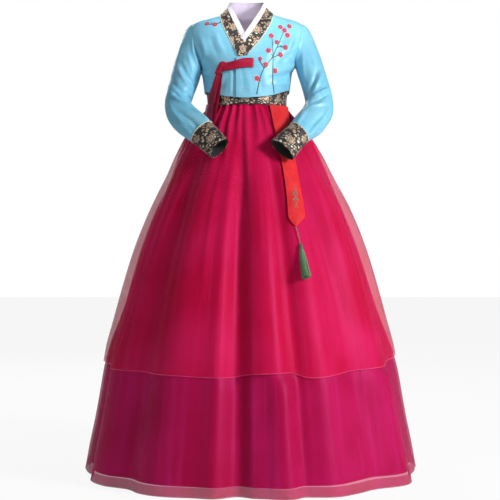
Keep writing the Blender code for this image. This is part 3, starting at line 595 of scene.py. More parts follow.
def petalThread():
    # satin stitch, read from the heart outwards: pink, then crimson, then a pale rim
    material, tree, shader = startMaterial("petalThread", petalValues["sheen"], petalValues["rough"])
    split = add(tree, "ShaderNodeSeparateXYZ", {0: placeBy(tree, "UV")})
    ragged = noise(tree, placeBy(tree, "UV"), petalValues["ragScale"])
    away = sums(tree, "MULTIPLY_ADD", ragged, petalValues["rag"], split.outputs[1])
    tone = petalValues["heart"]
    for start, full, color in petalBands:
        tone = blend(tree, ramp(tree, away, start, full), tone, color)
    tree.links.new(tone, shader.inputs["Base Color"])
    stitch = sums(tree, "SINE", times(tree, split.outputs[0], petalValues["stitches"]))
    roughen(tree, shader, stitch, petalValues["bump"], petalValues["bumpDepth"])
    return material


embroideryThread = petalThread()
print("materials mixed")

# The forms that the pieces share, in millimetres
torsoX = -3.0  # middle of the jacket
skirtX = 4.0  # middle of the skirt
bodyPower = 2.3  # squareness of the torso's horizontal section, 2 is an ellipse
overlapLift = 4.6  # how far the left front stands off the right front it crosses
collarLift = 0.6
waistLift = -4.2  # the waistband lies inside the jacket
shoulderZ = -22.0
underarmZ = {1: -150.0, -1: -168.0}  # the wearer's left arm is held a little higher than the right
armholeReach = 30.0  # degrees that the armhole bites into the front and the back
hemSideZ = -225.0
hemBackZ = -231.0
armholeGap = 1.0
neckInside = (0, 0, -40)  # a point inside the neck

# Horizontal section of the torso at each height
torso = (  # z, half width, front depth, back depth
    (-300, 117, 112, 88),
    (-268, 118, 115, 91),
    (-240, 119.5, 117, 94),
    (-220, 123.5, 119, 97),
    (-197, 126.5, 120, 99),
    (-168, 130.5, 118, 101),
    (-154, 137, 116, 102),
    (-130, 150, 111, 102),
    (-107, 163, 104, 101),
    (-84, 171, 97, 98),
    (-55, 172, 87, 92),
    (-35, 166, 78, 84),
    (-22, 151, 70, 77),
    (-17, 136, 67, 74),
    (-9, 107, 62, 69),
    (0, 78, 55, 62),
)

# The collar's sewn edge down the front, and its free edge; reach is from the front end to the shoulder
collarOver = (  # reach, seam x, seam z, free x, free y, free z, hug (1 lies on the torso form)
    (0.00, -1.8, -131, -39.5, -102, -105.5, 1.0),
    (0.25, 24.5, -98.5, -15.5, -95, -74.6, 1.0),
    (0.50, 50.3, -61.6, 9.5, -78, -37.1, 1.0),
    (0.75, 64.6, -33.4, 26.0, -56, -9.0, 0.5),
    (1.00, 75.0, 0, 43.4, -14, 31.2, 0.0),
)
collarUnder = (  # the same, on the wearer's right, which passes under
    (0.00, -22.5, -141, 17.1, -104, -118.6, 1.0),
    (0.25, -42.5, -100.7, -2.7, -94, -77.2, 1.0),
    (0.50, -62.5, -60, -21.3, -76, -36.0, 1.0),
    (0.75, -75.5, -28, -35.3, -56, -6.0, 0.5),
    (1.00, -81.0, 0, -50.0, -14, 31.2, 0.0),
)
collarBack = (  # turn from the side to the nape, free edge
    (0, 47.0, -14, 31.2),
    (22, 49.0, 10, 39.0),
    (45, 43.0, 32, 43.5),
    (70, 24.0, 47, 45.5),
    (90, 0.0, 52, 46.0),
)
collarShares = (0.006, 0.34, 0.68, 0.84, 1.0)  # columns across the collar, from its seam
collarEndDrop = (0, -10.5, -18.0, -9.5, 0)  # the squared end of the left half, below a straight cut
stripLift = 1.4
liningDepth = 4.4
liningHeights = (-90.0, -8.0)  # from the bottom of the neck lining up to the collar

# Front edges below the collar, from the hem up
leftFrontEdge = ((-32.2, -248.5), (-32.6, -211), (-32.8, -173), (-32.4, -136))  # x, z
rightFrontEdge = ((22, -247), (14, -215), (4, -182), (-8, -152))  # x, z
frontHem = ((-120, -226), (-74, -242), (-6, -249), (62, -242), (116, -222))  # x, z

# Sleeves: each row is a section, outer and inner edge as seen from the front
sleeveRight = (  # outer x, outer z, inner x, inner z, middle y, half depth
    (-177, -37, -138.5, -172, 0, 56),
    (-204, -109, -140, -185, -10, 54),
    (-215, -148, -143.5, -200, -20, 51),
    (-232.5, -225.5, -156.5, -238.5, -44, 45),
    (-237.5, -258.5, -162.5, -258.5, -56, 42),
    (-233.5, -291, -153.5, -273, -76, 39),
    (-221, -319, -138.5, -287.5, -101, 34),
    (-196, -348.5, -119.5, -304, -131, 28),
    (-156, -378, -101, -322.5, -160, 25),
)
cuffRight = (
    (-128.5, -401, -78, -348, -184, 23),
    (-102, -424, -55, -374, -207, 21),
)
sleeveLeft = (
    (174, -38, 143, -161, 0, 54),
    (204, -106, 145, -177, -10, 54),
    (216.5, -145, 151, -198, -20, 51),
    (238, -222.5, 161.5, -240, -44, 45),
    (243, -258.5, 163, -258.5, -56, 42),
    (241, -294, 155.5, -275.5, -76, 39),
    (227, -320, 143, -293, -101, 34),
    (204, -351, 129, -309.5, -131, 28),
    (166, -377.5, 119.5, -326, -160, 25),
)
cuffLeft = (
    (145, -403, 92, -351.5, -184, 23),
    (124.5, -429, 64, -377, -207, 21),
)

waistbandLow = (  # turn, z of the lower edge
    (-180, -273), (-90, -280), (-45, -270.5), (0, -267.5), (45, -268), (90, -275), (180, -273),
)
waistbandTop = -198.0
waistZ = -268.0  # where the skirt is sewn on in front

# The bell of the overskirt: the outer face of the short tier
bell = (  # z, half width, front depth, back depth
    (-1330, 470, 456, 458),
    (-1305, 466, 452, 454),
    (-1235, 454, 440, 443),
    (-1166, 440, 426, 431),
    (-1096, 428, 413, 418),
    (-1010, 415, 398, 403),
    (-957, 406, 388, 394),
    (-887, 387, 370, 377),
    (-818, 368, 350, 357),
    (-748, 348, 328, 335),
    (-679, 326, 304, 309),
    (-609, 300, 276, 278),
    (-539, 271, 244, 242),
    (-470, 239, 210, 203),
    (-400, 205, 178, 164),
    (-331, 165, 143, 124),
    (-290, 130.5, 118.5, 97.5),
    (-265, 113.4, 110.4, 86.4),
)
sectionPower = ((-1330, 2.0), (-400, 2.0), (-290, 2.25), (-265, 2.3))  # z, squareness

# Gap from the short tier's outer face in to each layer under it
underShort = (  # z, long tier, lining
    (-1330, 0, 6),
    (-1030, 4, 10),
    (-957, 10, 15),
    (-818, 23, 28),
    (-679, 26, 31),
    (-539, 22, 27),
    (-400, 9, 14),
    (-331, 5, 9),
    (-265, 2.6, 5.2),
)

# Large folds shared by every layer: turns are degrees from the front towards the wearer's left
sharedFolds = (  # turn at the waist, turn at the hem, width, height out
    (-10, -10, 4.5, 9),
    (-6, -4, 5.5, -20),
    (8, 10, 7, 12),
    (15, 18, 4, -8),
    (24, 28, 7, 12),
    (33, 47, 6, -17),
    (50, 60, 8, 10),
    (70, 76, 6, -8),
    (-26, -26, 9, 8),
    (-40, -45, 7, -15),
    (-58, -60, 8, 8),
    (-74, -73, 5, -9),
    (95, 97, 9, 9),
    (112, 114, 7, -13),
    (130, 132, 8, 13),
    (149, 150, 6, -14),
    (166, 166, 7, 12),
    (181, 182, 6, -14),
    (197, 198, 8, 13),
    (216, 217, 7, -13),
    (235, 234, 8, 12),
    (252, 253, 6, -10),
    (268, 267, 8, 8),
)
# Folds that only the long tier and its lining have, below the short tier
longFolds = (
    (4, 7, 5, -8),
    (13, 13, 5, 12),
    (22, 20, 5, -10),
    (44, 44, 6, -6),
    (62, 60, 6, 8),
)
foldStart = -300.0
foldFull = -680.0
longFoldStart = -880.0
longFoldFull = -1080.0

shortHem = (  # turn, z
    (-180, -995), (-135, -999), (-90, -998), (-60, -1006), (-30, -1009), (-7, -1013), (2, -1002),
    (14, -1000), (22, -1014), (36, -1006), (55, -998), (75, -987), (90, -981), (135, -986), (180, -995),
)
longHem = (
    (-180, -1312), (-90, -1308), (-65, -1314), (-40, -1319), (0, -1317), (40, -1319), (65, -1315),
    (90, -1309), (180, -1312),
)
liningHem = ((-180, -1288), (-90, -1282), (-40, -1291), (0, -1291), (40, -1288), (90, -1283), (180, -1288))

# Ribbon: one loop, a knot and two tails
loopPath = (  # x, lift of the middle of the cloth off the torso form
    (-61, 6.2), (-42, 6.2), (-18, 6.2), (4, 6.3), (13, 7.2), (16.5, 9.1),
    (13, 11.0), (4, 11.9), (-18, 12.0), (-42, 11.6), (-61, 10.8),
)
loopMiddle = ((-66, -164.5), (-35, -159), (-10, -154), (17, -153))  # x, z
loopWidth = 25.0
knot = (  # height along the knot, half width, half thickness
    (-1.0, 5.5, 3.4), (-0.9, 7.4, 4.6), (-0.5, 8.0, 5.4), (0, 7.4, 5.6),
    (0.5, 7.0, 5.3), (0.9, 6.4, 4.4), (1.0, 4.8, 3.2),
)
knotMiddle = (-75.0, -165.0)
knotHalf = 16.5
knotLean = 7.0  # how far the knot's top leans towards the wearer's left
knotLift = 7.4
tailLong = (  # middle x, z, width
    (-80, -180, 12), (-85.5, -198, 14.5), (-91, -218, 17), (-97, -240, 21), (-100.5, -262, 21),
    (-103, -280, 22), (-107, -300, 22), (-111, -322, 22), (-114, -345, 22),
)
tailShort = (
    (-75, -181, 9), (-79, -200, 13), (-83, -220, 18), (-87.5, -242, 19), (-90, -262, 19),
    (-92, -280, 19), (-96, -300, 19), (-100, -320, 19), (-103, -336, 19),
)
tailLongLift = 6.4
tailShortLift = 3.4

sash = (  # z, left edge x, right edge x
    (-270, 59.5, 111), (-300, 65, 114), (-340, 73, 118.5), (-385, 82.5, 125), (-430, 91, 131),
    (-475, 98.5, 137.5), (-520, 104.5, 143.5), (-560, 108, 149.5), (-587, 110, 152.5), (-603, 117, 142),
    (-615, 127, 131),
)
sashLift = 5.0
sashCord = ((129, -617.5), (131.5, -627), (134, -636), (136, -645), (138, -654), (139.5, -662))  # x, z
tasselTop = (139.6, -664)  # x, z
tasselEnd = (152, -758)
tasselShape = (  # share of the length, radius
    (0, 1.6), (0.03, 4.2), (0.08, 5.4), (0.14, 4.6), (0.18, 3.6), (0.22, 6.2), (0.4, 8.6), (0.7, 11.2),
    (0.97, 13.2), (1, 12.4),
)

panelSteps = {"collar": 7, "hole": 8, "side": 3, "shoulder": 3, "fine": 9, "across": 64}
ringPoints = 2 * panelSteps["hole"] * 6


def section(turn, halfWidth, front, back, power):
    # offsets of a rounded section at each turn from the front
    s, c = np.sin(np.radians(turn)), np.cos(np.radians(turn))
    x = halfWidth * np.sign(s) * np.abs(s) ** (2 / power)
    return x, -np.where(c >= 0, front, back) * np.sign(c) * np.abs(c) ** (2 / power)


def torsoSkin(turn, z):
    x, y = section(turn, ease(torso, 1, z), ease(torso, 2, z), ease(torso, 3, z), bodyPower)
    return np.stack([torsoX + x, y, np.asarray(z, float) + 0 * x], axis=-1)


def onTorso(turn, z, lift=0.0):
    # points on the torso form, some way outside it
    turn, z = np.broadcast_arrays(np.asarray(turn, float), np.asarray(z, float))
    step = 0.5
    around = torsoSkin(turn + step, z) - torsoSkin(turn - step, z)
    up = torsoSkin(turn, np.minimum(z + step, 0)) - torsoSkin(turn, z - step)
    out = unit(np.cross(around, up))
    return torsoSkin(turn, z) + out * np.broadcast_to(np.asarray(lift, float), turn.shape)[..., None]


def torsoTurn(x, z):
    # the turn at which the front of the torso form is at x
    share = np.clip((np.asarray(x, float) - torsoX) / ease(torso, 1, z), -1, 1)
    return np.degrees(np.arcsin(np.sign(share) * np.abs(share) ** (bodyPower / 2)))


def overlapAt(x):
    return overlapLift * (1 - smooth((np.asarray(x, float) - 20) / 80))


def pair(first, second):
    return np.stack(np.broadcast_arrays(first, second), axis=-1)


def armhole(side, face, steps):
    t = np.linspace(0, math.pi, steps + 1)
    bite = armholeReach * np.abs(np.sin(t)) ** 0.6
    middle, half = (shoulderZ + underarmZ[side]) / 2, (shoulderZ - underarmZ[side]) / 2
    return side * (90 - face * bite), middle + half * np.cos(t)


def patch(left, right, low, high):
    # a grid between four edges: rows from low to high, columns from left to right
    u = np.linspace(0, 1, len(low))[None, :, None]
    v = np.linspace(0, 1, len(left))[:, None, None]
    sides = left[:, None] * (1 - u) + right[:, None] * u
    ends = low[None] * (1 - v) + high[None] * v
    corners = (low[0] * (1 - u) + low[-1] * u) * (1 - v) + (high[0] * (1 - u) + high[-1] * u) * v
    return sides + ends - corners


def crease(x, z, line, width, height, taper=0.25):
    # a soft ridge or trough along a line seen from the front; it tapers off at both ends
    line = np.array(line, float)
    best = np.full(np.shape(x), 1e9)
    place = np.zeros(np.shape(x))
    lengths = np.linalg.norm(np.diff(line, axis=0), axis=1)
    total = lengths.sum()
    gone = 0.0
    for start, end, length in zip(line[:-1], line[1:], lengths):
        wayX, wayZ = (end - start) / length
        t = np.clip((x - start[0]) * wayX + (z - start[1]) * wayZ, 0, length)
        away = np.hypot(x - start[0] - wayX * t, z - start[1] - wayZ * t)
        closer = away < best
        best = np.where(closer, away, best)
        place = np.where(closer, (gone + t) / total, place)
        gone += length
    fade = smooth(place / taper) * smooth((1 - place) / taper) if taper else 1.0
    return height * soft(best, width) * (0.35 + 0.65 * fade) * smooth(1.6 - best / (3 * width))


def creases(x, z, table, narrow=1.0):
    total = 0 * x
    for line, width, height in table:
        total = total + crease(x, z, line, width * narrow, height)
    return total


def seenAt(grid, x, z, facing):
    # the place on a grid that shows at x and z from the front
    away = (grid[..., 0] - x) ** 2 + (grid[..., 2] - z) ** 2 + np.where(facing, 0, 1e9)
    i, j = np.unravel_index(np.argmin(away), away.shape)
    i, j = min(max(i, 1), grid.shape[0] - 2), min(max(j, 1), grid.shape[1] - 2)
    down = (grid[i + 1, j] - grid[i - 1, j]) / 2
    along = (grid[i, j + 1] - grid[i, j - 1]) / 2
    box = np.array([[down[0], along[0]], [down[2], along[2]]])
    step = np.linalg.solve(box, [x - grid[i, j, 0], z - grid[i, j, 2]])
    return i + np.clip(step[0], -1, 1), j + np.clip(step[1], -1, 1)


def onGrid(grid, i, j):
    # points between the grid's own points
    i = np.clip(i, 0, grid.shape[0] - 1.001)
    j = np.clip(j, 0, grid.shape[1] - 1.001)
    r, c = np.floor(i).astype(int), np.floor(j).astype(int)
    s, t = (i - r)[..., None], (j - c)[..., None]
    low = grid[r, c] * (1 - t) + grid[r, c + 1] * t
    high = grid[r + 1, c] * (1 - t) + grid[r + 1, c + 1] * t
    return low * (1 - s) + high * s


def around(grid, x, z, facing, offsets):
    # points round one place on a grid, at offsets in millimetres across and up
    i, j = seenAt(grid, x, z, facing)
    r, c = int(i), int(j)
    down = (grid[min(r + 2, grid.shape[0] - 1), c] - grid[max(r - 2, 0), c]) / 4
    along = (grid[r, min(c + 2, grid.shape[1] - 1)] - grid[r, max(c - 2, 0)]) / 4
    out = unit(np.cross(down, along))
    up = unit(np.array([0, 0, 1.0]) - out * out[2])
    right = np.cross(up, out) * (1 if np.cross(up, out)[0] > 0 else -1)
    move = offsets[..., :1] * right + offsets[..., 1:] * up
    spots = [seenAt(grid, x + dx, z + dz, facing) for dx, dz in zip(move[..., 0].ravel(), move[..., 2].ravel())]
    rows, columns = (np.array(part).reshape(move.shape[:-1]) for part in zip(*spots))
    return onGrid(grid, rows, columns)


print("forms ready")

jacketValues = {
    "thick": 0.6, "creaseDepth": 1.25, "edgeMargin": 7,
    "collarThick": 1.2, "collarColumns": 16, "collarFine": 8,
    "pipingRadius": 1.1, "pipingLift": 0.5, "stripThick": 0.9, "stripStart": 11, "stripFrom": 0.68,
    "liningThick": 0.6, "liningColumns": 14, "liningRows": 16, "liningTurns": (120, 240), "liningSteps": 4,
}
bodyInside = (0, 0, -120)  # a point inside the body
# soft creases in the cloth: a line of x and z as seen from the front, half width, height out
leftFrontCreases = (
    (((128, -60), (118, -110), (126, -150)), 9, 3.2),
    (((136, -80), (120, -120), (96, -150)), 7, -2.6),
    (((150, -140), (110, -165), (70, -176)), 8, 2.6),
    (((140, -160), (104, -182), (60, -196)), 6, -2.2),
    (((124, -200), (90, -208), (50, -214)), 7, 1.8),
    (((20, -175), (34, -205), (40, -240)), 9, -1.6),
    (((-8, -170), (2, -205), (8, -244)), 7, 1.6),
    (((84, -60), (74, -95), (52, -130)), 8, 1.6),
    (((104, -70), (92, -104), (78, -130)), 7, -1.6),
    (((-20, -160), (-14, -200), (-16, -240)), 5, -1.2),
    (((70, -190), (82, -214), (86, -238)), 7, 1.8),
)
rightFrontCreases = (
    (((-136, -70), (-122, -112), (-130, -160)), 9, 3.0),
    (((-146, -90), (-128, -130), (-104, -156)), 7, -2.8),
    (((-140, -165), (-112, -182), (-84, -188)), 7, 2.4),
    (((-120, -205), (-98, -212), (-70, -214)), 7, -1.8),
    (((-50, -160), (-46, -195), (-50, -240)), 6, 1.6),
    (((-38, -150), (-40, -200), (-40, -240)), 4, -1.8),
    (((-92, -60), (-84, -92), (-66, -124)), 8, 1.6),
    (((-108, -72), (-98, -104), (-84, -130)), 7, -1.4),
    (((-64, -195), (-72, -220), (-72, -238)), 6, -1.6),
)
backCreases = (
    (((-136, -60), (-118, -110), (-130, -165)), 9, 3.0),
    (((136, -56), (120, -106), (128, -150)), 9, 3.0),
    (((-140, -90), (-110, -128), (-60, -150)), 8, -2.4),
    (((140, -90), (108, -124), (64, -140)), 8, -2.4),
    (((-120, -180), (-84, -196), (-30, -202)), 8, 2.2),
    (((118, -176), (70, -190), (20, -194)), 8, 2.0),
    (((-90, -60), (-30, -72), (40, -66)), 9, 1.8),
    (((-60, -205), (-56, -220), (-58, -230)), 7, 1.6),
    (((44, -200), (40, -216), (42, -230)), 7, -1.6),
    (((90, -200), (86, -216), (92, -228)), 6, 1.6),
    (((-16, -160), (-6, -196), (-8, -230)), 8, -1.4),
)


def edgeFade(rows, columns, margin):
    # 0 on a panel's edges, so that a crease leaves its seams alone
    r = np.arange(rows)[:, None]
    c = np.arange(columns)[None, :]
    return smooth(np.minimum(r, rows - 1 - r) / margin + 0.25) * smooth(np.minimum(c, columns - 1 - c) / margin)


def panelGrid(flat, lift, table):
    # a panel lying on the torso form, with its creases
    turn, z = flat[..., 0], flat[..., 1]
    x = torsoSkin(turn, z)[..., 0]
    fold = creases(x, z, table) * edgeFade(*z.shape, jacketValues["edgeMargin"]) * jacketValues["creaseDepth"]
    return onTorso(turn, z, lift + fold)


def sideEdge(side, face, top):
    # a panel's outer edge: the side seam, the armhole and the shoulder
    fine = panelSteps["fine"]
    below = np.linspace(hemSideZ, underarmZ[side], panelSteps["side"] * fine + 1)[:-1]
    hole = pair(*armhole(side, face, panelSteps["hole"] * fine))[::-1]
    return np.concatenate([pair(side * 90, below), hole, pair(side * 90, np.asarray(top, float))])


def panel(name, grid):
    return gridMesh(name, grid, jacketSilk, thick=jacketValues["thick"], inside=bodyInside, under=liningSilk)


def frontPanel(name, side, edge, neckTurn, neckZ, table):
    fine = panelSteps["fine"]
    edge = np.array(edge, float)
    first = torsoSkin(np.array(neckTurn[0]), np.array(neckZ[0]))[0]
    points = np.concatenate([edge, [[first, neckZ[0]]]])
    at = np.linspace(0, 4, 4 * fine + 1)[:-1]
    edgeX, edgeZ = (np.interp(at, np.arange(5), points[:, k]) for k in (0, 1))
    left = np.concatenate([pair(torsoTurn(edgeX, edgeZ), edgeZ), pair(neckTurn, neckZ)])
    right = sideEdge(side, 1, ())
    across = np.linspace(0, 1, panelSteps["across"] + 1)
    hemTurn = left[0, 0] + (right[0, 0] - left[0, 0]) * across
    low = pair(hemTurn, ease(frontHem, 1, torsoSkin(hemTurn, 0 * hemTurn + hemSideZ)[:, 0]))
    low[0], low[-1] = left[0], right[0]
    flat = patch(left, right, low, pair(side * 90, shoulderZ * across))
    x = torsoSkin(flat[..., 0], flat[..., 1])[..., 0]
    grid = panelGrid(flat, overlapAt(x) if side > 0 else 0 * x, table)
    return panel(name, grid), grid


def backPanel(name, side):
    right = sideEdge(side, -1, np.linspace(shoulderZ, 0, panelSteps["shoulder"] * panelSteps["fine"] + 1)[1:])
    left = pair(side * 180, np.linspace(hemBackZ, 0, len(right)))
    across = np.linspace(0, 1, panelSteps["across"] + 1)[:, None]
    low = left[0] * (1 - across) + right[0] * across
    high = pair(side * (180 - 90 * across[:, 0]), 0)
    return panel(name, panelGrid(patch(left, right, low, high), 0, backCreases))


def collarHalf(table, side):
    # one half of the collar, from its front end to the nape
    fine = jacketValues["collarFine"]
    fineSeam = panelSteps["fine"]
    steps = panelSteps["collar"]
    reach = np.arange(steps * fine + 1) / (steps * fine)
    seamReach = np.arange(steps * fineSeam + 1) / (steps * fineSeam)
    seam = [ease(table, k, seamReach) for k in (1, 2)]
    seamTurn = torsoTurn(*seam)
    seamTurn[-1] = side * 90
    seamX, seamZ, freeX, freeY, freeZ, hug = (ease(table, k, reach) for k in range(1, 7))
    turn = torsoTurn(seamX, seamZ)
    turn[-1] = side * 90

    def lift(x):
        return collarLift + (overlapAt(x) if side > 0 else 0 * x)

    bend = np.linspace(0, 90, 6 * fine + 1)[1:]
    behind = onTorso(side * (90 + bend), 0 * bend, collarLift)
    sewn = np.concatenate([onTorso(turn, seamZ, lift(seamX)), behind])
    nape = [ease(collarBack, k, bend) for k in (1, 2, 3)]
    toMiddle = 1 - bend / 90
    napeX = torsoX + side * nape[0] + (freeX[-1] - torsoX - side * collarBack[0][1]) * toMiddle
    free = np.concatenate([np.column_stack([freeX, freeY, freeZ]), np.column_stack([napeX, nape[1], nape[2]])])
    shares = np.linspace(0.006, 1, jacketValues["collarColumns"] + 1)
    share = shares[None, :, None]
    straight = sewn[:, None] * (1 - share) + free[:, None] * share
    if side > 0:
        drop = np.interp(shares, collarShares, collarEndDrop)
        fade = smooth(1 - np.arange(len(straight))[:, None] / fine)
        straight[..., 2] += drop[None] * fade
    x, z = straight[..., 0], np.minimum(straight[..., 2], 0)
    hugging = onTorso(torsoTurn(x, z), z, lift(x))
    weight = np.concatenate([hug, 0 * bend])[:, None, None]
    return straight * (1 - weight) + hugging * weight, seamTurn, seam[1]


def movedOut(grid, distance, inside):
    return grid + outward(grid, False, inside) * distance


def makeJacket():
    over, overTurn, overZ = collarHalf(collarOver, 1)
    under, underTurn, underZ = collarHalf(collarUnder, -1)
    left = frontPanel("jeogoriFrontLeft", 1, leftFrontEdge, overTurn, overZ, leftFrontCreases)
    right = frontPanel("jeogoriFrontRight", -1, rightFrontEdge, underTurn, underZ, rightFrontCreases)
    settle(embroideryOn(*left, leftFrontBranches, leftFrontBlossoms), "jacket_silk", "jeogori_front_left")
    settle(embroideryOn(*right, rightFrontBranches, rightFrontBlossoms), "jacket_silk", "jeogori_front_right")
    for word, side in (("Left", 1), ("Right", -1)):
        settle(backPanel("jeogoriBack" + word, side), "jacket_silk", "jeogori_back_" + word.lower())

    fine = jacketValues["collarFine"]
    band = np.concatenate([over, under[-2::-1]])
    collar = gridMesh("collarBand", band, goldBrocade, thick=jacketValues["collarThick"], inside=neckInside,
                      under=liningSilk)
    seam = movedOut(band, jacketValues["pipingLift"], neckInside)[:, 0]
    piping = roundTube("piping", seam[::2], jacketValues["pipingRadius"], pipingCream)
    settle(joined("collarBand", [collar, piping]), "brocade", "collar_band")

    firstColumn = int(round(jacketValues["stripFrom"] * jacketValues["collarColumns"]))
    rows = slice(jacketValues["stripStart"], -fine)
    strip = movedOut(band, stripLift, neckInside)[rows, firstColumn:]
    strip = gridMesh("collarStrip", strip, whiteCotton, thick=jacketValues["stripThick"], inside=neckInside)
    settle(strip, "white_cotton", "collar_strip")

    nape = len(over) - 1
    half = jacketValues["liningSteps"] * fine
    turns = np.linspace(*jacketValues["liningTurns"], 2 * half + 1)
    heights = np.linspace(*liningHeights, jacketValues["liningRows"])
    lower = onTorso(turns[:, None], heights[None], 0.0)
    upper = band[nape - half:nape + half + 1, :jacketValues["liningColumns"]]
    lining = movedOut(np.concatenate([lower, upper], axis=1), -liningDepth, neckInside)
    lining = gridMesh("neckLining", lining, liningSilk, thick=jacketValues["liningThick"], inside=neckInside)
    settle(lining, "lining_silk", "neck_lining")


embroideryValues = {
    "lift": 0.25, "thick": 0.9, "seed": 11, "rings": 7, "spokes": 60, "petals": 5, "dome": 1.1, "heart": 0.5,
    "rim": (0.72, 0.3, 0.05), "branch": 1.3, "branchSteps": 26, "branchTaper": (1.2, 0.6), "twigEvery": 5,
    "twigSteps": 5, "twigAcross": (5, 9), "twigUp": (2, 8), "twigRadii": (0.8, 0.4), "threadLift": 0.5,
}
# branches: x and z of the places that each passes; blossoms: x, z and size
leftFrontBranches = (
    ((25, -240), (33, -200), (46, -166), (68, -136), (82, -104), (94, -76), (106, -44)),
    ((74, -236), (70, -200), (70, -172), (71, -140), (70, -104), (68, -76)),
    ((68, -136), (84, -128), (94, -124)),
    ((46, -166), (38, -154), (34, -142)),
    ((82, -104), (96, -102), (106, -104)),
)
leftFrontBlossoms = (
    (26, -196, 9.6), (50, -156, 9.4), (76, -172, 8.6), (92, -126, 8.8), (58, -116, 8.4), (106, -104, 8.2),
    (82, -90, 7.4), (66, -72, 8.6), (112, -68, 9.2), (92, -44, 7.6), (104, -54, 7.8), (118, -40, 8.0),
    (34, -140, 6.8),
)
rightFrontBranches = (((-70, -24), (-94, -36), (-122, -34)),)
rightFrontBlossoms = ((-94, -36, 7.6), (-117, -33, 7.4))


def onCloth(grid, normal, facing, spots, lift):
    # thread lying on the cloth along places at x and z as seen from the front
    points = []
    for x, z in spots:
        i, j = seenAt(grid, x, z, facing)
        points.append(onGrid(grid, np.array(i), np.array(j)) + normal[int(i), int(j)] * lift)
    return points


def blossom(grid, x, z, size, facing, rng):
    # five satin-stitched petals, pink at the heart and pale at the rim
    turn = roundTurn(embroideryValues["spokes"])[None, :]
    least, grown, uneven = embroideryValues["rim"]
    lobe = np.abs(np.cos(embroideryValues["petals"] / 2 * (turn + rng.uniform(0, 6))))
    rim = size * (least + grown * lobe ** 0.6) * (1 + uneven * np.cos(turn + rng.uniform(0, 6)))
    share = np.linspace(0.02, 1, embroideryValues["rings"])[:, None]
    offsets = np.stack([rim * share * np.cos(turn), rim * share * np.sin(turn)], axis=-1)
    flat = around(grid, x, z, facing, offsets)
    rise = embroideryValues["dome"] * np.sqrt(np.clip(1 - share ** 2, 0, 1)) * (0.5 + 0.5 * lobe)
    rise = embroideryValues["lift"] + rise + embroideryValues["heart"] * (share < 0.25)
    petals = flat + outward(flat, True, (0, 0, z)) * rise[..., None]
    thick = embroideryValues["thick"]
    return gridMesh("blossom", petals, embroideryThread, wrap=True, thick=thick, inside=(0, 0, z))


def embroideryOn(piece, grid, branches, blossoms):
    rng = np.random.RandomState(embroideryValues["seed"])
    normal = outward(grid, False, bodyInside)
    facing = normal[..., 1] < -0.05
    lift, steps = embroideryValues["threadLift"], embroideryValues["twigSteps"]
    extra = []
    for line in branches:
        spots = curveThrough(line, embroideryValues["branchSteps"])
        points = onCloth(grid, normal, facing, spots, lift)
        radii = embroideryValues["branch"] * np.linspace(*embroideryValues["branchTaper"], len(points))
        extra.append(roundTube("branch", points, radii, branchThread, 6))
        for k in range(4, len(points) - 2, embroideryValues["twigEvery"]):
            across = rng.choice([-1, 1]) * rng.uniform(*embroideryValues["twigAcross"])
            tip = spots[k] + np.array([across, rng.uniform(*embroideryValues["twigUp"])])
            twig = onCloth(grid, normal, facing, curveThrough([spots[k], tip], steps), lift)
            radii = np.linspace(*embroideryValues["twigRadii"], steps)
            extra.append(roundTube("twig", twig, radii, branchThread, 5))
    for x, z, size in blossoms:
        extra.append(blossom(grid, x, z, size, facing, rng))
    return joined(piece.name, [piece] + extra)


sleeveValues = {
    "thick": 0.6, "rings": 150, "creaseDepth": 1.6, "creaseWidth": 0.75, "topFade": 7, "cuffFade": 4,
    "cuffThick": 1.2, "cuffRings": 34, "pipingLift": 0.3,
}
# line of x and z as seen from the front, half width, height out
rightSleeveCreases = (
    (((-160, -57), (-156, -110), (-136, -174)), 6, 3.0),
    (((-150, -60), (-146, -112), (-128, -170)), 5, -3.0),
    (((-204, -150), (-186, -186), (-168, -216)), 6, 3.6),
    (((-192, -146), (-175, -180), (-156, -208)), 7, -3.4),
    (((-214, -228), (-190, -246), (-162, -262)), 6, -4.2),
    (((-216, -242), (-190, -260), (-158, -276)), 6, 4.0),
    (((-226, -176), (-206, -212), (-178, -240)), 8, -2.6),
    (((-158, -278), (-132, -298), (-106, -322)), 6, 2.6),
    (((-196, -290), (-160, -316), (-128, -352)), 9, -2.6),
    (((-224, -262), (-210, -292), (-176, -330)), 8, 2.6),
    (((-166, -240), (-158, -258), (-150, -274)), 5, -4.0),
    (((-186, -70), (-196, -110), (-206, -150)), 8, 1.8),
    (((-172, -120), (-160, -160), (-150, -190)), 6, 1.8),
    (((-204, -320), (-170, -344), (-140, -372)), 7, 2.0),
)
leftSleeveCreases = (
    (((154, -60), (144, -100), (132, -150)), 6, 3.0),
    (((140, -100), (133, -128), (128, -164)), 5, -3.2),
    (((200, -160), (190, -190), (176, -226)), 6, -4.2),
    (((212, -168), (202, -196), (186, -230)), 6, 3.0),
    (((228, -218), (206, -232), (182, -244)), 6, 4.2),
    (((226, -236), (204, -250), (176, -262)), 6, -3.8),
    (((222, -262), (196, -270), (166, -276)), 6, 2.8),
    (((168, -240), (164, -258), (158, -276)), 5, -4.0),
    (((164, -284), (150, -306), (132, -334)), 7, 2.4),
    (((214, -296), (186, -326), (156, -364)), 9, -2.4),
    (((236, -270), (214, -306), (180, -344)), 8, 2.4),
    (((176, -90), (186, -130), (196, -160)), 8, 1.8),
    (((156, -120), (158, -160), (162, -196)), 6, 1.8),
    (((200, -336), (176, -356), (152, -380)), 7, 1.8),
)
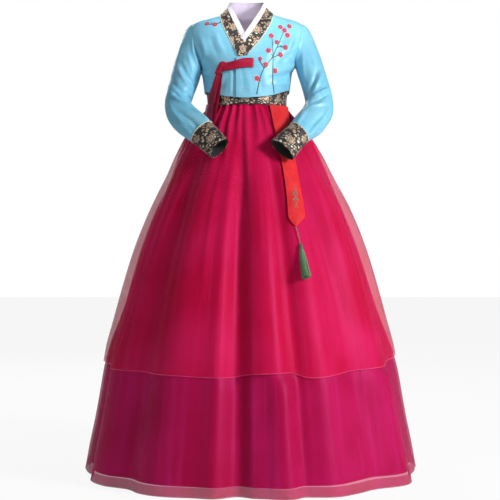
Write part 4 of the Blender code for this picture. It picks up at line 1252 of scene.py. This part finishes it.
# the same on the sides of the sleeves that face away from the front
sleeveBackCreases = (
    (((206, -150), (186, -186), (166, -214)), 7, 3.2),
    (((196, -140), (176, -176), (156, -204)), 7, -3.0),
    (((230, -230), (200, -248), (168, -262)), 7, 3.8),
    (((230, -246), (200, -262), (166, -274)), 7, -3.6),
    (((224, -270), (200, -300), (160, -330)), 8, 2.6),
    (((176, -80), (170, -120), (150, -160)), 8, 2.6),
    (((190, -70), (200, -120), (206, -150)), 9, -1.8),
    (((200, -310), (170, -340), (136, -370)), 8, -2.2),
)


def tubeRings(table):
    # each ring is an ellipse square to the arm between the row's two edges
    rows = np.array(table, float)
    outer, inner = rows[:, (0, 4, 1)], rows[:, (2, 4, 3)]
    middle = (outer + inner) / 2
    across = (outer - inner) / 2
    deep = unit(np.cross(unit(np.gradient(middle, axis=0)), across))
    deep *= np.sign(-deep[:, 1:2]) * rows[:, 5:6]
    t = roundTurn(ringPoints)[None, :, None]
    return middle[:, None] + across[:, None] * np.cos(t) + deep[:, None] * np.sin(t)


def makeSleeve(side, word, sleeve, cuff, table):
    half = ringPoints // 2
    turn, z = (np.concatenate([a, b[-2:0:-1]]) for a, b in zip(armhole(side, 1, half), armhole(side, -1, half)))
    hole = onTorso(turn, z)
    start = hole + unit(onTorso(side * 90, z.mean()) - hole) * armholeGap
    rings = tubeRings(sleeve + cuff)
    last = len(sleeve)
    upper = alongRings(np.concatenate([[start], rings[:last]]), sleeveValues["rings"])
    normal = outward(upper, True, None)
    front = smooth(-normal[..., 1] * 2 + 0.2)
    behind = smooth(normal[..., 1] * 2 + 0.2)
    x, z = upper[..., 0], upper[..., 2]
    push = creases(x, z, table, sleeveValues["creaseWidth"]) * front
    push = (push + creases(side * x, z, sleeveBackCreases) * behind) * sleeveValues["creaseDepth"]
    row = np.arange(len(upper))[:, None]
    ends = smooth(row / sleeveValues["topFade"]) * smooth((len(upper) - 1 - row) / sleeveValues["cuffFade"])
    upper = upper + normal * (push * ends)[..., None]
    piece = gridMesh("sleeve" + word, upper, jacketSilk, wrap=True, thick=sleeveValues["thick"],
                     under=liningSilk)
    settle(piece, "jacket_silk", "sleeve_" + word.lower() + "_upper", "sleeve_" + word.lower() + "_lower")

    wrist = rings[last - 1:]
    wrist[0] += unit(wrist[1] - wrist[0]) * armholeGap
    wrist = alongRings(wrist, sleeveValues["cuffRings"])
    # the cuff's inner face is near black, a painted shade for its opening
    piece = gridMesh("cuff" + word, wrist, goldBrocade, wrap=True, thick=sleeveValues["cuffThick"],
                     under=paintedShadeLining)
    seam = (wrist + outward(wrist, True, None) * sleeveValues["pipingLift"])[0]
    piping = roundTube("piping", np.concatenate([seam, seam[:2]]), jacketValues["pipingRadius"], pipingCream, 6)
    settle(joined("cuff" + word, [piece, piping]), "brocade", "cuff_" + word.lower())


skirtValues = {
    "columns": 400, "rows": 84, "thick": 0.4, "liningThick": 0.5, "hemRadius": 0.6, "hemTurn": 26,
    "bandThick": 1.2, "bandColumns": 240, "bandRows": 14,
    "foldDepth": 1.3, "foldRun": 1000, "leaningPower": 1.5,
    "creaseDepth": 2.0, "creaseOnLong": 0.4, "creasePower": 1.7, "creaseFade": 140,
    "layerGap": 3.1, "freeBelow": 60, "freeOut": 60,
}
gatherValues = {
    "seed": 5, "count": 40, "stray": 0.28, "width": (1.9, 3.2), "height": (3.6, 7.2), "length": (110, 330),
    "drift": 2.5, "sink": 4.0, "sinkLength": 150, "depth": 1.9,
}
# where the sash lies on the skirt: turn at its outer edge and half width, turn at its middle and half width
underSash = {
    "edge": (45, 12), "edgePressed": 0.5, "middle": (27, 17), "creasesPressed": 0.8, "foot": (-680, 80),
}
# creases pressed into the short tier: turn at the top and foot, top and foot height, half width, height out
shortCreases = (
    (-20, -19, -420, -760, 1.8, 2), (12, 13, -400, -980, 1.6, -2), (28, 34, -340, -960, 1.8, -3),
    (60, 66, -460, -990, 2.2, -5), (-48, -52, -440, -980, 2.2, 3),
    (-66, -66, -480, -980, 2.0, -5), (100, 103, -420, -980, 2.0, 5), (122, 124, -400, -980, 2.0, -5),
    (140, 141, -420, -980, 1.8, 5), (158, 158, -420, -980, 1.8, -5), (173, 174, -400, -980, 1.8, 5),
    (190, 190, -420, -980, 1.8, -4), (206, 207, -420, -980, 2.0, 5), (226, 225, -400, -980, 1.8, -5),
    (244, 244, -420, -980, 2.0, 5), (261, 260, -440, -980, 1.8, -4),
)


# folds that rise steeply on one side and fall away slowly on the other, from the waist down:
# turn at the waist and at the hem, width of each side, height out
leaningFolds = (
    (0, 1, 4.5, 13, 18), (19, 20.5, 3, 13, 13), (38, 46, 9, 16, 17), (-12, -11, 13, 3.5, 11),
    (-33, -38, 7, 15, 16), (-60, -66, 6, 14, 9), (74, 78, 5, 13, 9), (104, 107, 12, 5, 10),
    (128, 130, 5, 14, 12), (152, 153, 12, 5, 11), (176, 177, 5, 13, 12), (200, 200, 13, 5, 12),
    (224, 224, 5, 13, 11), (250, 249, 12, 5, 9),
)
# the same on the long tier alone, below the short one
longLeaningFolds = (
    (7, 8, 2.6, 9, 8), (19, 20, 2.4, 12, 9), (45, 47, 6, 11, 9), (-8, -8, 9, 2.6, 6), (64, 66, 5, 9, 7),
    (-30, -31, 4, 10, 5), (-52, -54, 4, 9, 6), (95, 96, 4, 9, 6), (118, 119, 4, 10, 8), (141, 142, 4, 9, 8),
    (165, 166, 4, 9, 8), (188, 189, 4, 10, 8), (212, 212, 4, 9, 8), (238, 237, 4, 9, 7),
)


def fromFold(turn, start, end, down):
    # degrees round the skirt from a fold that moves from one turn to another on its way down
    return (turn - start - (end - start) * down + 180) % 360 - 180


def leaning(table, turn, z, start, full):
    down = np.clip((foldStart - z) / skirtValues["foldRun"], 0, 1)
    total = 0 * turn
    for atWaist, atHem, left, right, height in table:
        away = fromFold(turn, atWaist, atHem, down)
        total = total + height * soft(away, np.where(away < 0, left, right), skirtValues["leaningPower"])
    return total * smooth((start - z) / (start - full))


def folds(table, turn, z, start, full):
    down = np.clip((foldStart - z) / skirtValues["foldRun"], 0, 1)
    total = 0 * turn
    for atWaist, atHem, width, height in table:
        total = total + height * soft(fromFold(turn, atWaist, atHem, down), width)
    return total * smooth((start - z) / (start - full)) * skirtValues["foldDepth"]


def gathers(turn, z):
    # narrow pleats let out from the waistband, each of its own width, depth and length
    rng = np.random.RandomState(gatherValues["seed"])
    count, stray, drifting = (gatherValues[key] for key in ("count", "stray", "drift"))
    total = 0 * turn - gatherValues["sink"] * np.clip(1 - (waistZ - z) / gatherValues["sinkLength"], 0, 1)
    for k in range(count):
        middle = (k + rng.uniform(-stray, stray)) * 360 / count
        width, height, length = (rng.uniform(*gatherValues[key]) for key in ("width", "height", "length"))
        drift = rng.uniform(-drifting, drifting)
        down = np.clip((waistZ - z) / length, 0, 1.2)
        hump = soft(fromFold(turn, middle, middle + drift, down), width)
        total = total + height * hump * (1 - smooth(down)) * (0.75 + 0.25 * smooth(down * 4))
    return total


def smallCreases(table, turn, z):
    total = 0 * turn
    fading = skirtValues["creaseFade"]
    for top, foot, high, low, width, height in table:
        down = np.clip((high - z) / (high - low), 0, 1)
        fade = smooth((high - z) / fading) * smooth((z - low) / fading + 0.6)
        total = total + height * soft(fromFold(turn, top, foot, down), width, skirtValues["creasePower"]) * fade
    return total


def bellSkin(turn, z, inset, isLong, plain=False):
    # the outer face of a layer of the skirt, some way inside the bell
    halfWidth, front, back = (ease(bell, k, z) - inset for k in (1, 2, 3))
    x, y = section(turn, halfWidth, front, back, ease(sectionPower, 1, z))
    out = folds(sharedFolds, turn, z, foldStart, foldFull) + leaning(leaningFolds, turn, z, foldStart, foldFull)
    if isLong:
        out = out + folds(longFolds, turn, z, longFoldStart, longFoldFull)
        out = out + leaning(longLeaningFolds, turn, z, longFoldStart, longFoldFull)
    if not plain:
        # the gathers are pressed flatter under the outer edge of the sash, the creases under all of it
        edge, edgeWide = underSash["edge"]
        middle, wide = underSash["middle"]
        foot, fading = underSash["foot"]
        pressed = 1 - underSash["edgePressed"] * soft(turn - edge, edgeWide, 6)
        out = out + gathers(turn, z) * gatherValues["depth"] * pressed
        behind = smooth((z - foot) / fading) * soft(turn - middle, wide, 4)
        depth = skirtValues["creaseDepth"] * (skirtValues["creaseOnLong"] if isLong else 1.0)
        out = out + smallCreases(shortCreases, turn, z) * depth * (1 - underSash["creasesPressed"] * behind)
    stretch = 1 + out / np.hypot(x, y)
    return np.stack([bellMiddle(z) + x * stretch, y * stretch, z + 0 * x], axis=-1)


def onBell(x, z, lift):
    # points of the short tier's crests at x and z as seen from the front, some way outside it
    x, z = np.broadcast_arrays(np.asarray(x, float), np.asarray(z, float))

    def crest(turn, height):
        return bellSkin(turn, height, 0.0, False, plain=True)

    low, high = np.full(x.shape, -88.0), np.full(x.shape, 88.0)
    for _ in range(40):
        turn = (low + high) / 2
        short = crest(turn, z)[..., 0] < x
        low, high = np.where(short, turn, low), np.where(short, high, turn)
    out = unit(np.cross(crest(turn + 0.6, z) - crest(turn - 0.6, z), crest(turn, z + 2) - crest(turn, z - 2)))
    return crest(turn, z) + out * np.asarray(lift, float)[..., None]


def onFront(x, z, lift):
    # points at x and z on the jacket's front, or below its waist on the skirt
    sunk = -waistLift * (1 - smooth((waistZ - z) / 60))
    high = onTorso(torsoTurn(x, z), z, lift)
    return np.where((z > waistZ)[..., None], high, onBell(x, np.minimum(z, waistZ), lift + sunk))


def bellMiddle(z):
    # the skirt's axis, which moves from under the jacket's to the skirt's own
    return torsoX + (skirtX - torsoX) * np.clip((waistZ - z) / 200, 0, 1)


def reach(grid, z):
    # how far each point of a layer is from the skirt's own axis
    return np.hypot(grid[..., 0] - bellMiddle(z), grid[..., 1])


def toReach(grid, z, share):
    # draws each point of a layer in towards the axis
    middle = bellMiddle(z) + 0 * grid[..., 0]
    return np.stack([middle + (grid[..., 0] - middle) * share, grid[..., 1] * share, grid[..., 2]], axis=-1)


def skirtLayer(name, column, hem, material, thick, hemMaterial, hemTurn=0):
    turn = np.linspace(-180, 180, skirtValues["columns"], endpoint=False)
    top, foot = ease(waistbandLow, 1, turn) - 0.3, ease(hem, 1, turn)
    share = (np.linspace(0, 1, skirtValues["rows"]) ** 1.15)[:, None]
    z = top * (1 - share) + foot * share
    inset = ease(underShort, column, z) if column else 0 * z
    grid = bellSkin(np.broadcast_to(turn, z.shape), z, inset, column > 0)
    if column:
        # an under layer stays inside the short tier wherever that covers it
        over = bellSkin(np.broadcast_to(turn, z.shape), z, 0 * z, False)
        below = smooth((ease(shortHem, 1, turn) - 4 - z) / skirtValues["freeBelow"])
        limit = reach(over, z) - skirtValues["layerGap"] * column + skirtValues["freeOut"] * below
        here = reach(grid, z)
        grid = toReach(grid, z, np.minimum(here, limit) / here)
    edge = np.concatenate([grid[-1], grid[-1][:2]])
    parts = [
        gridMesh(name, grid, material, wrap=True, thick=thick),
        roundTube("hem", edge, skirtValues["hemRadius"], hemMaterial, 5),
    ]
    if hemTurn:
        # the hem is turned up once inside
        z = foot + 1 + (hemTurn - 1) * np.linspace(1, 0, 6)[:, None]
        turned = bellSkin(np.broadcast_to(turn, z.shape), z, ease(underShort, column, z) + 1.2, column > 0)
        parts.append(gridMesh("turnedHem", turned, material, wrap=True, thick=thick))
    return joined(name, parts)


def makeSkirt():
    turn = np.linspace(-180, 180, skirtValues["bandColumns"], endpoint=False)
    share = np.linspace(0, 1, skirtValues["bandRows"])[:, None]
    z = waistbandTop * (1 - share) + ease(waistbandLow, 1, turn) * share
    band = gridMesh("chimaWaistband", onTorso(turn, z, waistLift), goldBrocade, wrap=True,
                    thick=skirtValues["bandThick"], under=paintedShadeLining)
    settle(band, "brocade", "chima_waistband")
    thick, liningThick, hemTurn = (skirtValues[key] for key in ("thick", "liningThick", "hemTurn"))
    lining = skirtLayer("skirtLining", 2, liningHem, skirtSatin, liningThick, skirtSatin)
    settle(lining, "skirt_satin", "skirt_lining")
    settle(skirtLayer("skirtLong", 1, longHem, organzaLong, thick, hemDark, hemTurn), "organza", "skirt_long")
    settle(skirtLayer("skirtShort", 0, shortHem, organzaShort, thick, hemPale), "organza", "skirt_short")


ribbonValues = {
    "thick": 0.7, "columns": 22, "rows": 90, "loopEnds": (6.2, 10.4), "loopEndX": -69, "gatheredFrom": -8,
    "gatheredOver": 50, "gatheredBy": 0.14, "knotRings": 46, "knotSides": 48, "knotWide": 1.35,
    "knotWraps": ((0.06, 7, 3.0), (0.04, 3, -5)), "tailRipple": 0.6,
}


def makeRibbon():
    first, last = ribbonValues["loopEnds"]
    endX = ribbonValues["loopEndX"]
    path = curveThrough([(endX, first)] + list(loopPath) + [(endX, last)], ribbonValues["rows"])
    share = np.linspace(-0.5, 0.5, ribbonValues["columns"])
    x = np.repeat(path[:, :1], len(share), axis=1)
    nearKnot = smooth((ribbonValues["gatheredFrom"] - x) / ribbonValues["gatheredOver"])
    z = ease(loopMiddle, 1, x) + loopWidth * (1 - ribbonValues["gatheredBy"] * nearKnot) * share
    wave = share * 2 * math.pi
    ripple = 0.9 * np.cos(wave * 2.6 + 0.7)[None] * nearKnot + 0.35 * np.cos(wave * 1.4)[None]
    loop = onTorso(torsoTurn(x, z), z, path[:, 1:] + ripple)
    piece = gridMesh("ribbonLoop", loop, ribbonSilk, thick=ribbonValues["thick"], inside=loop.mean(axis=(0, 1)))
    settle(piece, "ribbon_silk", "ribbon_loop")

    shares = np.linspace(-1, 1, ribbonValues["knotRings"])
    halfWidth, halfThick = (ease(knot, k, shares)[:, None] for k in (1, 2))
    x = knotMiddle[0] + knotLean * shares
    z = knotMiddle[1] + knotHalf * shares
    here = onTorso(torsoTurn(x, z), z, knotLift)[:, None]
    out = onTorso(torsoTurn(x, z), z, knotLift + 1)[:, None] - here
    across = unit(np.cross(out, (0, 0, 1.0)))
    t = roundTurn(ribbonValues["knotSides"])[None, :]
    wrap = 1
    for deep, turns, slope in ribbonValues["knotWraps"]:
        wrap = wrap + deep * np.cos(turns * t + slope * shares[:, None])
    wide = np.cos(t) * halfWidth * wrap * ribbonValues["knotWide"]
    rings = here + wide[..., None] * across + (np.sin(t) * halfThick * wrap)[..., None] * out
    settle(ringSolid("ribbonKnot", rings, ribbonSilk), "ribbon_silk", "ribbon_knot")

    for name, node, table, lift, phase in (
        ("ribbonTailLong", "ribbon_tail_long", tailLong, tailLongLift, 0.4),
        ("ribbonTailShort", "ribbon_tail_short", tailShort, tailShortLift, 1.9),
    ):
        line = curveThrough([(z, x, w) for x, z, w in table], ribbonValues["rows"])
        z = np.repeat(line[:, :1], len(share), axis=1)
        x = line[:, 1:2] + line[:, 2:3] * share
        down = np.linspace(0, 1, len(line))[:, None]
        ripple = (1.3 * (1 - down) + 0.5) * np.cos(wave[None] * 1.5 + phase + 1.5 * down)
        ripple = ripple + 0.5 * np.cos(9 * down + 3 * share[None] + phase)
        tail = onFront(x, z, lift + ribbonValues["tailRipple"] * ripple)
        piece = gridMesh(name, tail, ribbonSilk, thick=ribbonValues["thick"], inside=(0, 0, waistZ))
        settle(piece, "ribbon_silk", node)


sashValues = {
    "thick": 0.7, "columns": 34, "rows": 110, "inside": (0, 0, -270), "ripple": 0.7, "petalThick": 0.8,
    "petalLift": 0.25, "petalDome": 0.7, "petalRings": 4, "petalSides": 24, "stitchLift": 0.35,
}
sashStitches = (  # x and z of the places that each line passes, steps, radius, thread
    (((111.5, -573), (130, -575), (150.5, -574)), 30, 0.5, sashEdge),
    (((127, -500), (128.5, -520), (130, -545)), 24, 0.7, greyGold),
)
sashPetals = (  # x, z, half length, half width, lean
    (124, -524, 7, 2.6, 0.5), (134, -524, 7, 2.6, -0.5), (130, -514, 7, 2.6, 0.0), (125, -540, 6.5, 2.6, 2.3),
    (135.5, -540, 6.5, 2.6, -2.3), (130, -550, 7, 2.8, 3.14), (130, -532, 4.2, 4.0, 0),
    (127.5, -560, 3.5, 1.8, 2.8), (133.5, -560, 3.5, 1.8, -2.8),
)
cordValues = {"radius": 1.1, "steps": 40, "inTassel": 0.52, "tasselSteps": 24}
tasselValues = {
    "seed": 3, "headEnd": 0.2, "headRings": 22, "headSides": 28, "ridges": 14, "ridgeHeight": 0.05,
    "threadStart": 0.15, "threadEnd": (0.95, 1.0), "threadSteps": 12, "threadRadius": 0.72, "spread": 0.93,
    "stray": 0.3, "sway": 0.5,
}
threadRings = ((1.0, 46), (0.72, 30), (0.4, 16))  # share of the tassel's radius, threads


def makeSash():
    line = curveThrough([(z, left, right) for z, left, right in sash], sashValues["rows"])
    share = np.linspace(0, 1, sashValues["columns"])[None]
    z = np.repeat(line[:, :1], share.shape[1], axis=1)
    x = line[:, 1:2] * (1 - share) + line[:, 2:3] * share
    down = np.linspace(0, 1, len(line))[:, None]
    ripple = np.cos(share * 2 * math.pi * 1.2 + 0.6 + 2 * down) * (1 - 0.5 * down)
    grid = onBell(x, z, sashLift + sashValues["ripple"] * ripple)
    parts = [gridMesh("sashBand", grid, sashSilk, thick=sashValues["thick"], inside=sashValues["inside"])]
    facing = np.ones(z.shape, bool)
    normal = outward(grid, False, sashValues["inside"])
    for places, count, radius, material in sashStitches:
        points = onCloth(grid, normal, facing, curveThrough(places, count), sashValues["stitchLift"])
        parts.append(roundTube("stitch", points, radius, material, 6))
    turn = roundTurn(sashValues["petalSides"])[None]
    part = np.linspace(0.05, 1, sashValues["petalRings"])[:, None]
    rise = (sashValues["petalLift"] + sashValues["petalDome"] * np.sqrt(1 - part ** 2))[..., None]
    for px, pz, long, wide, lean in sashPetals:
        a, b = wide * part * np.cos(turn), long * part * np.sin(turn)
        c, s = math.cos(lean), math.sin(lean)
        flat = around(grid, px, pz, facing, np.stack([a * c - b * s, a * s + b * c], axis=-1))
        petal = flat + outward(flat, True, (0, 0, pz)) * rise
        parts.append(gridMesh("petal", petal, greyGold, wrap=True, thick=sashValues["petalThick"],
                              inside=(0, 0, pz)))
    settle(joined("sashBand", parts), "sash_silk", "sash")


def makeCord(top, end):
    # the cord runs on through the tassel's head and ends inside its threads
    line = curveThrough(sashCord, cordValues["steps"])
    inside = top + (end - top) * np.linspace(0, cordValues["inTassel"], cordValues["tasselSteps"])[:, None]
    points = np.concatenate([onBell(line[:, 0], line[:, 1], np.full(len(line), sashLift)), inside])
    cord = roundTube("sashCord", points, cordValues["radius"], tasselThread, 10)
    settle(cord, "tassel_thread", "sash_cord")
    return cord, points


def makeTassel(top, end):
    length = np.linalg.norm(end - top)
    along = (end - top) / length
    side = unit(np.cross(along, (0, -1, 0)))
    out = np.cross(side, along)
    t = roundTurn(tasselValues["headSides"])[None, :, None]
    head = [row for row in tasselShape if row[0] <= tasselValues["headEnd"]]
    shares = np.linspace(0, head[-1][0], tasselValues["headRings"])
    radii = ease(head, 1, shares)[:, None, None]
    ridge = 1 + tasselValues["ridgeHeight"] * np.cos(tasselValues["ridges"] * t)
    way = np.cos(t) * side + np.sin(t) * out
    rings = top + along * (shares * length)[:, None, None] + way * radii * ridge
    pieces = [ringSolid("tasselHead", rings, tasselDark)]
    rng = np.random.RandomState(tasselValues["seed"])
    stray, swaying = tasselValues["stray"], tasselValues["sway"]
    for ring, count in threadRings:
        for k in range(count):
            angle = (k + rng.uniform(-stray, stray)) * 2 * math.pi / count
            last = rng.uniform(*tasselValues["threadEnd"])
            shares = np.linspace(tasselValues["threadStart"], last, tasselValues["threadSteps"])
            radius = ease(tasselShape, 1, shares) * ring * tasselValues["spread"]
            bent = angle + rng.uniform(-swaying, swaying) * shares ** 2
            way = np.cos(bent)[:, None] * side + np.sin(bent)[:, None] * out
            points = top + along * (shares * length)[:, None] + way * radius[:, None]
            pieces.append(roundTube("thread", points, tasselValues["threadRadius"], tasselThread, 5))
    tassel = joined("sashTassel", pieces)
    settle(tassel, "tassel_thread", "tassel")
    return tassel


makeJacket()
print("jacket made")
makeSleeve(-1, "Right", sleeveRight, cuffRight, rightSleeveCreases)
makeSleeve(1, "Left", sleeveLeft, cuffLeft, leftSleeveCreases)
print("sleeves made")
makeSkirt()
print("skirt made")
makeRibbon()
makeSash()
knotted, hanging = onBell(*tasselTop, sashLift), onBell(*tasselEnd, sashLift + tasselShape[-2][1] + 1)
cordPiece, cordPoints = makeCord(knotted, hanging)
tasselPiece = makeTassel(knotted, hanging)
print("ribbon, sash and tassel made")
